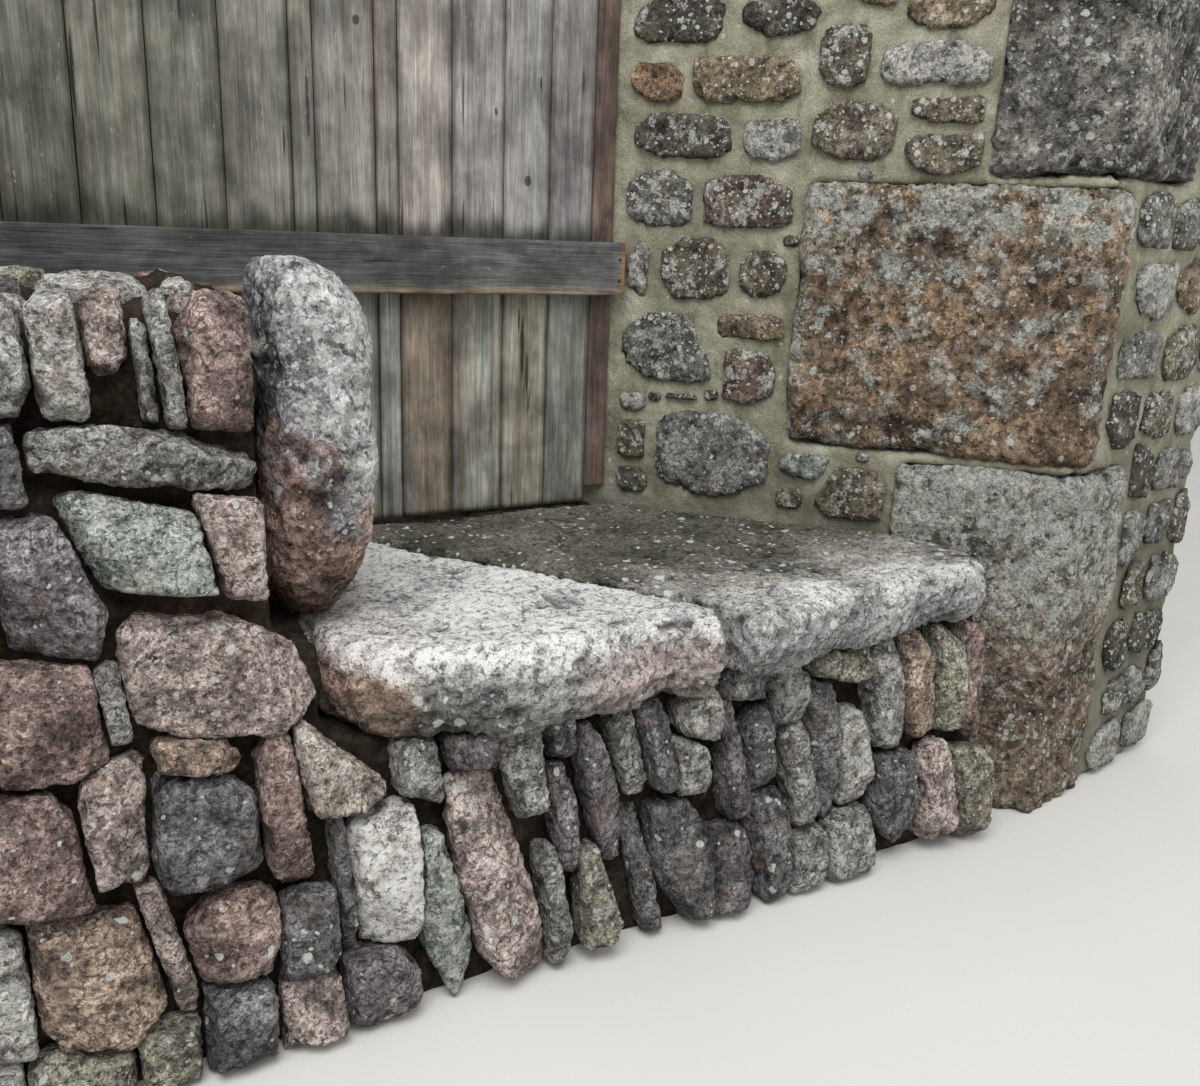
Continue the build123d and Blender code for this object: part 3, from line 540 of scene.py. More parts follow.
def stonePile(name, stones, values, tints, nodes=(), material=rubbleGranite):
    # Each stone is a list of corner points
    dice = random.Random(values["seed"])
    pile = bmesh.new()
    colours = []
    for count, points in enumerate(stones):
        colours.append(tints(middle(points) - origin, dice))
        points = chipped(points, dice, values, values["out"])
        added(pile, hull([p + Vector((0, 0, apart * count)) for p in points]))
    pile = remeshed(pile, values["voxel"])
    layer = pile.verts.layers.float_color.new("tint")
    for vert in pile.verts:
        count = int((vert.co.z + apart / 4) // apart)
        vert.co.z -= apart * count
        vert[layer] = colours[count]
    roughened(pile, values["bumps"])
    piece(name, pile, material, nodes)


# Colours of the stones, as they are seen, with a share of lichen
stoneTints = {
    "sandStone": (170, 160, 149, 0.5), "pinkGranite": (152, 139, 132, 0.45),
    "greyGranite": (128, 127, 123, 0.6), "darkGranite": (98, 97, 97, 0.35),
    "oliveStone": (124, 121, 108, 0.55), "purpleStone": (106, 101, 102, 0.3),
    "greenStone": (122, 127, 121, 0.85), "rustStone": (141, 125, 111, 0.3), "quartz": (214, 209, 202, 0.1),
    "redStone": (127, 110, 104, 0.25), "tanStone": (134, 121, 101, 0.5), "brownStone": (112, 104, 90, 0.7),
    "paleStone": (156, 153, 147, 0.8), "darkWall": (86, 83, 75, 0.6), "orangeStone": (140, 117, 94, 0.3),
    "redWall": (112, 99, 88, 0.8), "slateGrey": (108, 108, 101, 0.8)}


def tintOf(name, dice, change=0.1):
    red, green, blue, lichen = stoneTints[name]
    light = 1 + dice.uniform(-change, change)
    return (*[c * light for c in rgb(red, green, blue)[:3]], lichen)


hedgeSpots = {  # where the stones of each colour lie, along and up the leaning face, in metres
    "sandStone": [(-0.312, 0.478)],
    "pinkGranite": [(-0.432, 0.836), (-0.454, 0.658), (-0.637, 0.448), (-0.59, 0.228), (-0.034, 0.21)],
    "greyGranite": [(-0.556, 0.968), (-0.622, 0.620), (-0.548, 1.1), (-0.508, 1.11), (-0.845, 0.836),
                    (0.06, 0.12), (0.014, 0.4), (0.36, 0.32), (0.64, 0.25), (0.87, 0.38)],
    "darkGranite": [(-0.742, 0.975), (-0.517, 0.394), (-0.806, 0.668), (-0.488, 0.076), (0.262, 0.15),
                    (0.546, 0.32), (-0.384, 0.205), (0.104, 0.44), (0.29, 0.388), (0.706, 0.3),
                    (0.905, 0.16)],
    "greenStone": [(-0.572, 0.856), (-0.885, 0.978), (0.596, 0.432), (-0.148, 0.16)],
    "purpleStone": [(-0.702, 0.806), (0.088, 0.29), (0.16, 0.32), (0.47, 0.316)],
    "rustStone": [(-0.517, 0.522), (-0.69, 0.22), (0.962, 0.4)],
    "redStone": [(-0.753, 0.412), (-0.392, 0.396), (-0.866, 0.44), (-0.718, 0.602), (-0.445, 1.105),
                 (-0.48, 0.232)],
    "oliveStone": [(-0.94, 0.83), (-0.595, 0.058), (-0.718, 0.062), (0.748, 0.468), (0.15, 0.12)],
    "quartz": [(-0.236, 0.262)],
    "paleStone": [(-0.96, 0.64), (-0.82, 0.222), (0.396, 0.426)]}
wallSpots = {  # along the house wall from the gate and up it
    "darkWall": [(0.111, 1.79), (0.33, 1.8), (0.13, 1.56)], "orangeStone": [(0.068, 1.68)],
    "brownStone": [(0.489, 1.73), (0.508, 1.578), (0.717, 1.62), (0.715, 1.537), (0.033, 0.846),
                   (0.33, 1.26), (0.184, 1.268)],
    "tanStone": [(0.277, 1.685), (0.302, 1.148), (0.68, 1.8)], "redWall": [(0.284, 1.422), (0.311, 1.03)],
    "paleStone": [(0.336, 1.56), (0.681, 1.71)], "slateGrey": [(0.081, 1.42), (0.104, 1.08), (0.157, 0.975)],
    "greyGranite": [(0.235, 0.842)], "greenStone": [(0.461, 0.829)]}
spotReach = 0.06  # a stone whose middle lies this near a spot takes its colour
common = ["greyGranite", "darkGranite", "greyGranite", "purpleStone", "pinkGranite", "oliveStone",
          "paleStone", "redStone", "greyGranite"]
wallCommon = ["slateGrey", "brownStone", "tanStone", "paleStone", "brownStone", "greyGranite", "darkWall"]


def nearestTint(spots, others, along, up, dice):
    nearest = min((math.hypot(along - x, up - z), name) for name, places in spots.items() for x, z in places)
    return tintOf(nearest[1] if nearest[0] < spotReach else dice.choice(others), dice)


# Stones lose chips all round and flat breaks across the face that is seen
dryStoneValues = {"voxel": 0.0076, "farVoxel": 0.013, "chips": 3, "chipDepth": 0.09,
                  "chipRange": (0.25, 1.0), "breaks": 3, "breakTurn": 0.5, "breakDepth": 0.11, "seed": 4,
                  "out": Vector((0, -1, 0.1)), "bumps": ((0.07, 0.004), (0.028, 0.005), (0.011, 0.003))}
wallStoneValues = {**dryStoneValues, "voxel": 0.0085, "farVoxel": 0.014, "chips": 2, "chipDepth": 0.07,
                   "breakDepth": 0.04, "seed": 9, "bumps": ((0.06, 0.006), (0.02, 0.006), (0.01, 0.002))}
wallTurns = {"side": 46.5, "front": -12.0}  # the house wall's two runs, in degrees to the right of the gate
wallAlong, frontAlong = (Vector((math.cos(math.radians(turn)), -math.sin(math.radians(turn)), 0))
                         for turn in wallTurns.values())
wallOut, frontOut = (Vector((along.y, -along.x, 0)) for along in (wallAlong, frontAlong))
wallStart = Vector((0.617, 0, 0))


def hedgeTintAt(at, dice):
    return nearestTint(hedgeSpots, common, at.x, at.z, dice)


def wallTintAt(at, dice):
    return nearestTint(wallSpots, wallCommon, (at - wallStart).dot(wallAlong), at.z, dice)


def hedgeTint(at, dice):
    return tintOf(dice.choice(common), dice)


def wallTint(at, dice):
    return tintOf(dice.choice(wallCommon), dice)


for node in ("hedge_edge_stones", "hedge_upper_stones", "hedge_middle_stones", "hedge_lower_stones",
             "base_left_stones", "base_middle_stones", "base_right_stones"):
    stonePile(node, solidsOf(node), dryStoneValues, hedgeTintAt, [node])
for node, out in (("hedge_end_stones", (1, 0, 0)), ("hedge_left_stones", (-1, 0, 0)),
                  ("hedge_back_stones", (0, 1, 0))):
    values = {**dryStoneValues, "voxel": dryStoneValues["farVoxel"], "out": Vector(out)}
    stonePile(node, solidsOf(node), values, hedgeTint, [node])
for node in ("wall_lower_stones", "wall_middle_stones", "wall_upper_stones", "wall_top_stones"):
    values = {**wallStoneValues, "out": wallOut}
    stonePile(node, solidsOf(node), values, wallTintAt, [node], wallGranite)
for node, out in (("front_wall_stones", wallOut), ("side_inner_stones", -wallOut),
                  ("front_inner_stones", -wallOut)):
    values = {**wallStoneValues, "voxel": wallStoneValues["farVoxel"], "out": out}
    stonePile(node, solidsOf(node), values, wallTint, [node], wallGranite)


lumpValues = {"corners": 12, "wobble": 0.2, "reach": (0.9, 1.02), "square": 6, "crown": 0.86, "waist": 0.3,
              "tail": 0.9}


def lump(centre, across, over, out, wide, high, proud, sunk, dice):
    # Corner points of a squarish stone that stands proud of a face and is sunk in it
    values = lumpValues
    points = []
    for step in range(values["corners"]):
        turn = math.tau * (step + dice.uniform(-values["wobble"], values["wobble"])) / values["corners"]
        corner = abs(math.cos(turn)) ** values["square"] + abs(math.sin(turn)) ** values["square"]
        reach = dice.uniform(*values["reach"]) / corner ** (1 / values["square"])
        side = across * (math.cos(turn) * reach * wide) + over * (math.sin(turn) * reach * high)
        points += [centre + side * values["crown"] + out * proud,
                   centre + side + out * proud * values["waist"],
                   centre + side * values["tail"] - out * sunk]
    return points


def courses(values):
    # Stones in rough courses over a flat face that its two directions span
    dice = random.Random(values["seed"])
    start, across, over = (Vector(values[key]) for key in ("start", "across", "over"))
    out = across.cross(over)
    highEnd, wideEnd = values["high"] - values["edge"], values["wide"] - values["edge"]
    stones = []
    rise = values["edge"]
    while rise < highEnd - values["leastHigh"]:
        course = min(dice.uniform(*values["course"]), highEnd - rise)
        run = values["edge"] + dice.uniform(*values["inset"])
        while run < wideEnd - values["leastWide"]:
            long = min(course * dice.uniform(*values["length"]), wideEnd - run)
            if dice.random() < values["share"]:
                lift = dice.uniform(-values["lift"], values["lift"])
                centre = start + across * (run + long / 2) + over * (rise + course / 2 + lift)
                tall = course * dice.uniform(*values["fill"])
                proud = values["proud"] * dice.uniform(*values["proudRange"])
                stones.append(lump(centre, across, over, out, long / 2, tall, proud, values["sunk"], dice))
            run += long + values["joint"]
        rise += course + values["joint"]
    return stones


# Rubble that shows in the cut ends and tops of the walls, behind the landing and on the hedge
up = Vector((0, 0, 1))
right = Vector((1, 0, 0))
wallSizes = {"thick": 0.45, "behind": 0.15, "run": 1.09, "front": 0.64, "high": 2.05, "corner": 0.25}
wallEnd = origin + wallStart - wallAlong * wallSizes["behind"]
wallCorner = origin + wallStart + wallAlong * wallSizes["run"]
wallTop = up * wallSizes["high"]
topSizes = {"side": 0.97, "corner": 0.23, "cornerIn": 0.02, "front": 0.26}  # along the tops of the walls
backLow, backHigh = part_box("gate_sill")[0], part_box("landing_core")[1]
backRight = 0.12  # where the landing's back meets the house wall
hedgeLow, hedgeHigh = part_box("hedge_core")
hedgeTop = {"edge": 0.03, "crest": -0.138, "long": 0.70, "half": 0.24, "front": (-0.25, -0.046),
            "slope": (0.267, 0.05)}
crest = Vector((hedgeLow.x + hedgeTop["edge"], hedgeTop["crest"], hedgeHigh.z))
upSlope, downSlope = (Vector((0, hedgeTop["slope"][0], rise)).normalized()
                      for rise in (hedgeTop["slope"][1], -hedgeTop["slope"][1]))
faceValues = {"edge": 0.016, "joint": 0.013, "course": (0.08, 0.16), "leastHigh": 0.04, "leastWide": 0.05,
              "inset": (0, 0.03), "length": (0.8, 2.0), "lift": 0.004, "fill": (0.46, 0.52), "proud": 0.014,
              "proudRange": (0.6, 1.0), "sunk": 0.03, "share": 1.0, "voxel": 0.0125, "wearSeed": 31}


def face(seed, start, across, over, wide, high, **changes):
    return {**faceValues, "seed": seed, "start": start, "across": across, "over": over, "wide": wide,
            "high": high, **changes}


faces = {
    "wall_end_stones": [
        face(21, wallEnd - wallOut * wallSizes["thick"], wallOut, up, wallSizes["thick"],
             wallSizes["high"])],
    "wall_cut_stones": [
        face(22, wallCorner + frontAlong * wallSizes["front"], -frontOut, up, wallSizes["thick"],
             wallSizes["high"])],
    "wall_crown_stones": [
        face(23, wallEnd + wallTop, wallAlong, -wallOut, topSizes["side"], wallSizes["thick"]),
        face(24, wallCorner - wallAlong * wallSizes["corner"] - wallOut * topSizes["cornerIn"] + wallTop,
             wallAlong, -wallOut, topSizes["corner"], topSizes["corner"], edge=0.01),
        face(25, wallCorner + frontAlong * topSizes["front"] + wallTop, frontAlong, -frontOut,
             wallSizes["front"] - topSizes["front"], wallSizes["thick"])],
    "landing_back_stones": [
        face(26, Vector((backRight, backHigh.y, 0)), -right, up, backRight - backLow.x, backHigh.z,
             joint=0.012, edge=0.008, proud=0.02)],
    "hedge_crown_stones": [
        face(27, crest + Vector((0, *hedgeTop["front"])), right, upSlope, hedgeTop["long"], hedgeTop["half"],
             course=(0.05, 0.1), proud=0.03, share=0.75),
        face(28, crest, right, downSlope, hedgeTop["long"], hedgeTop["half"], course=(0.05, 0.1), proud=0.03,
             share=0.7)]}
for name, patches in faces.items():
    stones = [stone for values in patches for stone in courses(values)]
    out = patches[0]["across"].cross(patches[0]["over"])
    values = {**wallStoneValues, "voxel": faceValues["voxel"], "out": out, "seed": faceValues["wearSeed"]}
    if name in ("landing_back_stones", "hedge_crown_stones"):
        stonePile(name, stones, values, hedgeTint, (), rubbleGranite)
    else:
        stonePile(name, stones, values, wallTint, (), wallGranite)


galletValues = {"runs": (0.03, 1.0), "rises": (0.69, 2.0), "tries": 2500, "least": 0.02, "most": 0.034,
                "flat": (0.6, 0.95), "joint": 0.004, "proud": 0.011, "sunk": 0.012, "seed": 12,
                "wear": {"voxel": 0.006, "chips": 4,
                         "bumps": ((0.06, 0.003), (0.02, 0.003), (0.01, 0.0015))}}


def gallets(values):
    # Small stones pinned into the wide joints of the house wall
    dice = random.Random(values["seed"])
    taken = []
    for node in ("wall_lower_stones", "wall_middle_stones", "wall_upper_stones", "wall_top_stones",
                 "base_quoin", "big_quoin", "upper_quoin"):
        for points in solidsOf(node):
            runs = [(p - origin - wallStart).dot(wallAlong) for p in points]
            rises = [p.z for p in points]
            taken.append((min(runs), max(runs), min(rises), max(rises)))
    stones = []
    for _ in range(values["tries"]):
        run, rise = dice.uniform(*values["runs"]), dice.uniform(*values["rises"])
        room = min(math.hypot(max(low - run, 0, run - high), max(foot - rise, 0, rise - top))
                   for low, high, foot, top in taken)
        if room > values["least"]:
            size = min(room - values["joint"], values["most"])
            centre = origin + wallStart + wallAlong * run + up * rise
            stones.append(lump(centre, wallAlong, up, wallOut, size, size * dice.uniform(*values["flat"]),
                               values["proud"], values["sunk"], dice))
            taken.append((run - size, run + size, rise - size, rise + size))
    wear = {**wallStoneValues, **values["wear"], "out": wallOut}
    stonePile("wall_gallets", stones, wear, wallTint, (), wallGranite)


gallets(galletValues)
print("stones laid")


def block(node, values):
    # One big stone or core: its solid with its arrises worn and its faces roughened, with painted shade in
    # their hollows and painted light on their crests
    shape = remeshed(setOutShape(node), values["voxel"])
    for _ in range(values["wear"]):
        bmesh.ops.smooth_vert(shape, verts=shape.verts, factor=0.5, use_axis_x=True, use_axis_y=True,
                              use_axis_z=True)
    layer = shape.verts.layers.float_color.new("tint")
    for vert in shape.verts:
        vert[layer] = values["tint"](vert.co - origin)
    roughened(shape, values["bumps"], values["sides"])
    piece(node, shape, values["finish"], [node])


def mixed(one, other, share):
    return tuple(a + (b - a) * share for a, b in zip(one, other))


def cloud(at, size, seed=0.0):  # about 0 to 1 over a stone
    return 0.5 + 0.6 * noise.fractal(at / size + Vector((seed, -seed, seed * 2)), 1.0, 2.0, 4)


def shade(red, green, blue, lichen=0.0):
    return (*rgb(red, green, blue)[:3], lichen)


def plainTint(*colour):
    value = shade(*colour)
    return lambda at: value


# A pair of numbers is where a colour starts and where it is full, as a place or as a cloud's share
slabShades = {"top": shade(238, 236, 233, 0.05), "face": shade(152, 150, 147, 0.4),
              "rust": shade(156, 134, 120), "pink": shade(166, 152, 146, 0.1),
              "damp": shade(102, 100, 89, 0.4), "middle": shade(142, 139, 132, 0.6),
              "pale": shade(196, 195, 191, 0.3), "rightFace": shade(158, 158, 156, 0.4)}
frontSlabSpans = {"top": (0.6, 0.655), "low": (-0.57, -0.52), "pink": (0.14, 0.3), "rust": (0.2, 0.3)}
rightSlabSpans = {"top": (0.62, 0.655), "middle": (-0.8, -0.66), "damp": (-0.68, -0.5), "end": (0.5, 1.0),
                  "face": (-0.75, -0.6)}


def frontSlabTint(at):  # white on top, rusty at its left end, pinkish at its right and damp below
    spans = frontSlabSpans
    top = eased(at.z + 0.02 * cloud(at, 0.05), *spans["top"])
    colour = mixed(slabShades["face"], slabShades["top"], top)
    pink = eased(at.x + 0.15 * cloud(at, 0.1, 3), *spans["pink"]) * (1 - top) * 0.8
    colour = mixed(colour, slabShades["pink"], pink)
    rust = eased(-at.x + 0.12 * cloud(at, 0.08, 5), *spans["rust"]) * (1 - 0.7 * top)
    colour = mixed(colour, slabShades["rust"], rust)
    return mixed(colour, slabShades["damp"], 0.45 * eased(-at.z, *spans["low"]))


def rightSlabTint(at):  # pale along its front edge and damp towards the gate
    spans = rightSlabSpans
    back = at.y + 0.10 * (cloud(at, 0.12, 2) - 0.5)
    colour = mixed(slabShades["pale"], slabShades["middle"], eased(back, *spans["middle"]))
    damp = back - 0.1 * eased(at.x, *spans["end"])
    colour = mixed(colour, slabShades["damp"], eased(damp, *spans["damp"]))
    level = max(eased(at.z, *spans["top"]), eased(at.y, *spans["face"]))
    return mixed(slabShades["rightFace"], colour, level)


boulderShades = {"grey": shade(144, 143, 144, 0.7), "white": shade(184, 184, 183, 1.0),
                 "dark": shade(104, 102, 104, 0.4), "red": shade(146, 119, 107, 0.1)}
boulderSpans = {"grey": (0.25, 0.55), "white": (-0.1, 0.7), "red": (-0.04, 0.12)}


def boulderTint(at):  # white lichen on its upper right, bare red granite at its foot
    spans = boulderSpans
    colour = mixed(boulderShades["dark"], boulderShades["grey"], eased(cloud(at, 0.06), *spans["grey"]))
    right = (at.x + 0.30) / 0.16 + (at.z - 0.95) * 0.9 + 0.8 * (cloud(at, 0.05, 4) - 0.5)
    colour = mixed(colour, boulderShades["white"], 0.75 * eased(right, *spans["white"]))
    low = 0.98 - at.z - 0.9 * (at.x + 0.32) + 0.22 * (cloud(at, 0.05, 8) - 0.5)
    return mixed(colour, boulderShades["red"], 0.9 * eased(low, *spans["red"]))


quoinShades = {"orange": shade(134, 114, 93, 0.25), "brown": shade(118, 102, 85, 0.5),
               "grey": shade(142, 136, 125, 0.9), "stone": shade(124, 121, 114, 0.6),
               "dusk": shade(104, 102, 98, 0.4), "olive": shade(126, 124, 111, 0.8),
               "crust": shade(160, 162, 152, 1.0)}
quoinSpans = {"high": (0.3, 0.65), "third": (0.5, 0.72), "top": (1.26, 1.4), "left": (-0.5, -0.4),
              "patches": (0.3, 0.55), "foot": (-0.5, -0.3), "crust": (0.6, 0.74)}


def quoinTint(low, high, third):
    def colour(at):
        value = mixed(quoinShades[low], quoinShades[high], eased(cloud(at, 0.06, 1), *quoinSpans["high"]))
        return mixed(value, quoinShades[third], 0.8 * eased(cloud(at, 0.06, 6), *quoinSpans["third"]))
    return colour


def bigQuoinTint(at):  # lichen along its top and down its left side
    value = quoinTint("brown", "orange", "grey")(at)
    run = (at - wallStart).dot(wallAlong)
    rim = max(eased(at.z, *quoinSpans["top"]), eased(-run, *quoinSpans["left"]))
    rim *= eased(cloud(at, 0.05, 9), *quoinSpans["patches"])
    return mixed(value, quoinShades["crust"], 0.75 * rim)


def baseQuoinTint(at):  # browner towards its foot, with a crust of pale lichen near its top
    value = quoinTint("stone", "olive", "grey")(at)
    foot = eased(0.12 * cloud(at, 0.1, 2) - at.z, *quoinSpans["foot"])
    value = mixed(value, quoinShades["brown"], 0.75 * foot)
    crust = eased(at.z + 0.25 * (cloud(at, 0.1, 3) - 0.5), *quoinSpans["crust"])
    return mixed(value, quoinShades["crust"], 0.8 * crust)


slabValues = {"voxel": 0.0085, "bumps": ((0.12, 0.006), (0.035, 0.005), (0.012, 0.002)), "wear": 2,
              "sides": 2.6, "finish": slabGranite, "slot": "slab_granite"}
boulderValues = {"voxel": 0.0075, "bumps": ((0.12, 0.014), (0.04, 0.008), (0.014, 0.004)), "wear": 3,
                 "sides": 1.0, "finish": boulderGranite, "slot": "boulder_granite"}
quoinValues = {"voxel": 0.0115, "bumps": ((0.16, 0.014), (0.045, 0.01), (0.017, 0.006)), "wear": 2,
               "sides": 1.0, "finish": quoinGranite, "slot": "quoin_granite"}
wallCoreValues = {"voxel": 0.018, "bumps": ((0.15, 0.006), (0.04, 0.005), (0.02, 0.002)), "wear": 0,
                  "sides": 1.0, "tint": plainTint(*stoneTints["paleStone"]), "finish": limeMortar,
                  "slot": "wall_mortar"}
hedgeCoreValues = {"voxel": 0.018, "bumps": ((0.2, 0.03), (0.06, 0.02), (0.025, 0.008)), "wear": 2,
                   "sides": 1.0, "tint": plainTint(*stoneTints["darkGranite"]), "finish": hedgeEarth,
                   "slot": "hedge_earth"}
landingCoreValues = {"voxel": 0.018, "bumps": ((0.1, 0.012), (0.04, 0.01), (0.02, 0.005)), "wear": 0,
                     "sides": 1.0, "tint": plainTint(*stoneTints["darkGranite"]), "finish": packedEarth,
                     "slot": "landing_rubble"}
blocks = {
    "front_slab": {**slabValues, "tint": frontSlabTint}, "right_slab": {**slabValues, "tint": rightSlabTint},
    "end_boulder": {**boulderValues, "tint": boulderTint},
    "base_quoin": {**quoinValues, "tint": baseQuoinTint},
    "big_quoin": {**quoinValues, "voxel": 0.0105, "tint": bigQuoinTint},
    "upper_quoin": {**quoinValues, "tint": quoinTint("dusk", "stone", "stone")},
    "side_wall_core": wallCoreValues, "front_wall_core": wallCoreValues, "hedge_core": hedgeCoreValues,
    "landing_core": landingCoreValues, "gate_sill": landingCoreValues}
for node, values in blocks.items():
    block(node, values)
print("blocks and cores done")


# Gate timbers: each board's colour above the rail and below it
boardShades = [((98, 97, 88), (98, 97, 88)), ((94, 93, 84), (94, 93, 84)), ((104, 103, 93), (104, 103, 93)),
               ((101, 100, 91), (101, 100, 91)), ((112, 110, 102), (108, 107, 96)),
               ((108, 107, 98), (106, 105, 94)), ((124, 121, 115), (124, 125, 115)),
               ((112, 108, 101), (132, 136, 130)), ((144, 138, 131), (122, 112, 99)),
               ((134, 131, 128), (140, 140, 129)), ((133, 131, 128), (142, 138, 124)),
               ((121, 118, 117), (116, 118, 110))]
# brown, green, wet and soil are stains on the boards; edge and tongue are painted shade in the joints
boardStainsAndShade = {"brown": shade(88, 74, 60, 0.3), "green": shade(126, 134, 132, 0.8), "wet": shade(46, 48, 40),
               "soil": shade(60, 60, 46), "edge": shade(58, 54, 48), "tongue": shade(44, 41, 36)}
boardValues = {"cuts": (9, 1, 110), "lichen": 0.7, "cup": 0.0015, "saw": 0.0009, "warp": 0.0025,
               "soilTop": 0.70, "dryFrom": 0.43, "tongueIn": 0.009, "tongueThick": 0.005,
               "tongueReach": 0.003}
railFoot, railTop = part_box("gate_rail")[0].z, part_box("gate_rail")[1].z


def plank(low, high, cuts):
    # A sawn plank between two corners, cut across each axis so that it can be worn
    shape = bmesh.new()
    bmesh.ops.create_cube(shape, size=1.0)
    for axis, count in enumerate(cuts):
        along = [e for e in shape.edges if abs((e.verts[0].co - e.verts[1].co)[axis]) > 1e-6]
        if count:
            bmesh.ops.subdivide_edges(shape, edges=along, cuts=count, use_grid_fill=True)
    bmesh.ops.scale(shape, verts=shape.verts, vec=high - low)
    bmesh.ops.translate(shape, verts=shape.verts, vec=(low + high) / 2)
    return shape


def boardTint(count, edge, at):
    # Paler above the rail, streaked below it, green-black where the rail holds the wet, and darker along its
    # edges as painted shade at the joints
    upper, lower = (shade(*value, boardValues["lichen"]) for value in boardShades[count])
    colour = mixed(upper, lower, eased(railTop - at.z, 0.0, 0.02))
    below = at.z < railFoot
    streak = noise.noise(Vector((at.x * 40, count * 5.0, at.z * 1.5)))
    colour = mixed(colour, boardStainsAndShade["brown"], eased(streak, 0.05, 0.5) * (0.6 if below else 0.25))
    colour = mixed(colour, boardStainsAndShade["green"], eased(-streak, 0.15, 0.5) * (0.5 if below else 0.1))
    reach = 0.025 + 0.06 * cloud(Vector((at.x * 6, count, 0.5)), 0.3)
    reach -= 0.02 * (at.x > origin.x + boardValues["dryFrom"])
    wet = eased(reach - (at.z - railTop), 0.0, 0.05) * (at.z > railTop - 0.01)
    colour = mixed(colour, boardStainsAndShade["wet"], 0.85 * wet)
    soil = eased(boardValues["soilTop"] + 0.02 * streak - at.z, 0.0, 0.04)
    # The edge colour is painted shade along the board's sides, at the joints
    return mixed(mixed(colour, boardStainsAndShade["soil"], 0.7 * soil), boardStainsAndShade["edge"], 0.5 * edge ** 8)


def boards(values):
    # Cupped and sawn boards side by side, with a tongue in each joint that is coloured near-black as painted
    # shade
    whole = bmesh.new()
    whole.verts.layers.float_color.new("tint")
    before = None
    for count, points in enumerate(solidsOf("gate_boards")):
        low = Vector([min(p[k] for p in points) for k in range(3)])
        high = Vector([max(p[k] for p in points) for k in range(3)])
        shape = plank(low, high, values["cuts"])
        layer = shape.verts.layers.float_color.new("tint")
        centre, half = (low.x + high.x) / 2, (high.x - low.x) / 2
        for vert in shape.verts:
            edge = abs(vert.co.x - centre) / half
            vert[layer] = boardTint(count, edge, vert.co)
            front = vert.co.y < (low.y + high.y) / 2
            mark = noise.noise(Vector((vert.co.x * 160, count, vert.co.z * 9)))
            sink = values["cup"] * edge ** 4 + values["saw"] * mark
            vert.co.y += sink if front else -sink
            vert.co.y += values["warp"] * noise.noise(Vector((count * 3.1, 0, vert.co.z * 2.2)))
        added(whole, shape)
        if before:
            near, reach = low.y + values["tongueIn"], values["tongueReach"]
            tongue = plank(Vector((before.x - reach, near, low.z)),
                           Vector((low.x + reach, near + values["tongueThick"], before.z)), (0, 0, 0))
            dark = tongue.verts.layers.float_color.new("tint")
            for vert in tongue.verts:
                # Painted shade: the tongue is coloured near-black, as the joint is seen in shade
                vert[dark] = boardStainsAndShade["tongue"]
            added(whole, tongue)
        before = high
    piece("gate_boards", whole, boardTimber, ["gate_boards"])


boards(boardValues)


railShades = {"dark": shade(70, 71, 70, 0.3), "pale": shade(90, 90, 88, 0.9),
              "foot": shade(124, 112, 97, 0.6), "end": shade(134, 100, 70, 0.2)}
stripShades = {"pale": shade(100, 84, 76, 0.5), "dark": shade(74, 64, 58, 0.1)}


def railTint(at):  # paler to the right, bare along its foot, and fresh wood at its cut end
    along = at.x - origin.x
    colour = mixed(railShades["dark"], railShades["pale"], eased(along + 0.2 * cloud(at, 0.15), 0.15, 0.5))
    colour = mixed(colour, railShades["foot"], eased(railFoot + 0.02 - at.z, 0.0, 0.015))
    return mixed(colour, railShades["end"], eased(along, 0.595, 0.605))


def stripTint(at):
    return mixed(stripShades["pale"], stripShades["dark"], cloud(at, 0.05))


ledgeValues = {"cuts": (60, 2, 5), "tint": plainTint(104, 97, 86, 0.5), "finish": railTimber}
beams = {
    "gate_rail": {"cuts": (90, 2, 10), "tint": railTint, "finish": railTimber},
    "gate_strip": {"cuts": (4, 1, 90), "tint": stripTint, "finish": boardTimber},
    "gate_left_post": {"cuts": (3, 3, 60), "tint": plainTint(86, 80, 72, 0.4), "finish": boardTimber},
    **{"gate_back_ledge_%d" % count: ledgeValues for count in (1, 2, 3)}}
beamWear = {"arris": 0.005, "rough": 0.0012, "grain": 25}


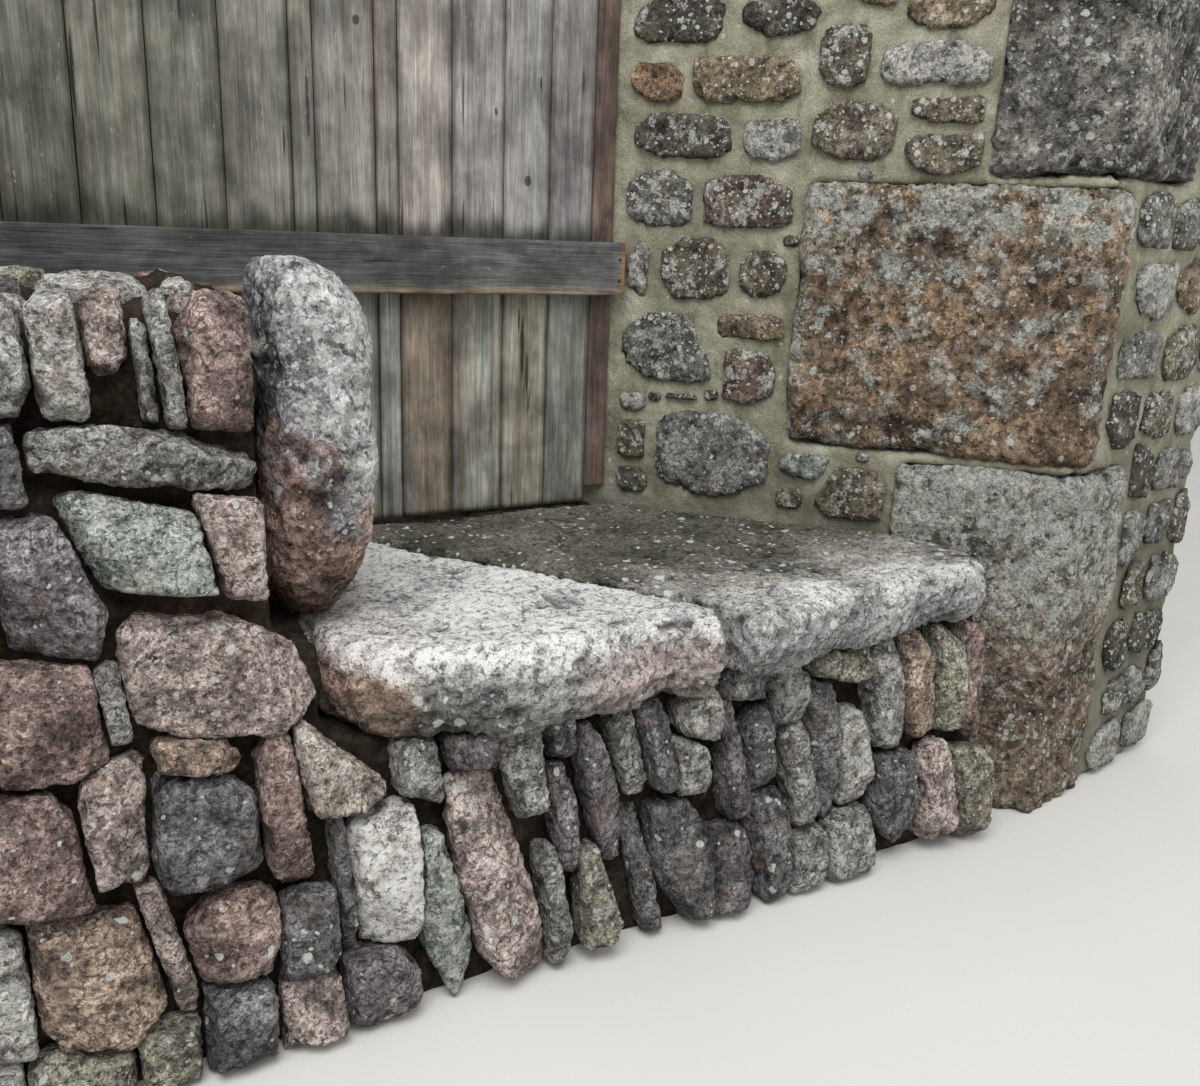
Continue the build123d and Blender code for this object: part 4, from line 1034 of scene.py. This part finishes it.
def beam(node, values):
    # A straight timber with its arrises worn and its faces slightly uneven
    shape = plank(*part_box(node), values["cuts"])
    layer = shape.verts.layers.float_color.new("tint")
    arrises = [e for e in shape.edges if e.is_manifold and e.calc_face_angle(0) > 1]
    bmesh.ops.bevel(shape, geom=arrises, offset=beamWear["arris"], offset_type="OFFSET", segments=2,
                    profile=0.5, affect="EDGES", material=-1)
    for vert in shape.verts:
        vert[layer] = values["tint"](vert.co)
        vert.co.y += beamWear["rough"] * noise.noise(vert.co * beamWear["grain"])
    piece(node, shape, values["finish"], [node])


for node, values in beams.items():
    beam(node, values)


# Two old nails at each end of the rail, set in from its ends, foot and top
nailValues = {"radius": 0.0045, "dome": 0.45, "proud": 0.0006, "left": 0.04, "right": 0.017, "foot": 0.034,
              "top": 0.04, "dark": (34, 28, 25), "pale": (78, 52, 38)}


def nails(values):
    low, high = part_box("gate_rail")
    whole = bmesh.new()
    for x in (low.x + values["left"], high.x - values["right"]):
        for z in (low.z + values["foot"], high.z - values["top"]):
            head = bmesh.new()
            bmesh.ops.create_uvsphere(head, u_segments=14, v_segments=8, radius=values["radius"])
            bmesh.ops.scale(head, verts=head.verts, vec=(1, values["dome"], 1))
            bmesh.ops.translate(head, verts=head.verts, vec=(x, low.y + values["proud"], z))
            added(whole, head)
    finish = Finish("nailIron", 0.7, 0.3)
    rust = finish.clouds(0.002, 3, 0.6)
    colour = finish.steps(rust, (0.3, rgb(*values["dark"])), (0.7, rgb(*values["pale"])))
    piece("rail_nails", whole, finish.done(colour))


nails(nailValues)
print("gate done")


# Floor
floorValues = {"size": 40.0, "colour": (225, 223, 218), "cloud": 0.8, "change": 2}


def floor(values):
    shape = bmesh.new()
    bmesh.ops.create_grid(shape, x_segments=1, y_segments=1, size=values["size"] / 2)
    data = bpy.data.meshes.new("floor")
    shape.to_mesh(data)
    shape.free()
    finish = Finish("floorPaint", 0.95, 0.1)
    tone = finish.clouds(values["cloud"], 2, 0.5)
    change = values["change"]
    low, high = (rgb(*[c + step for c in values["colour"]]) for step in (-change, change))
    data.materials.append(finish.done(finish.steps(tone, (0.3, low), (0.7, high))))
    made = bpy.data.objects.new("floor", data)
    bpy.context.scene.collection.objects.link(made)


floor(floorValues)
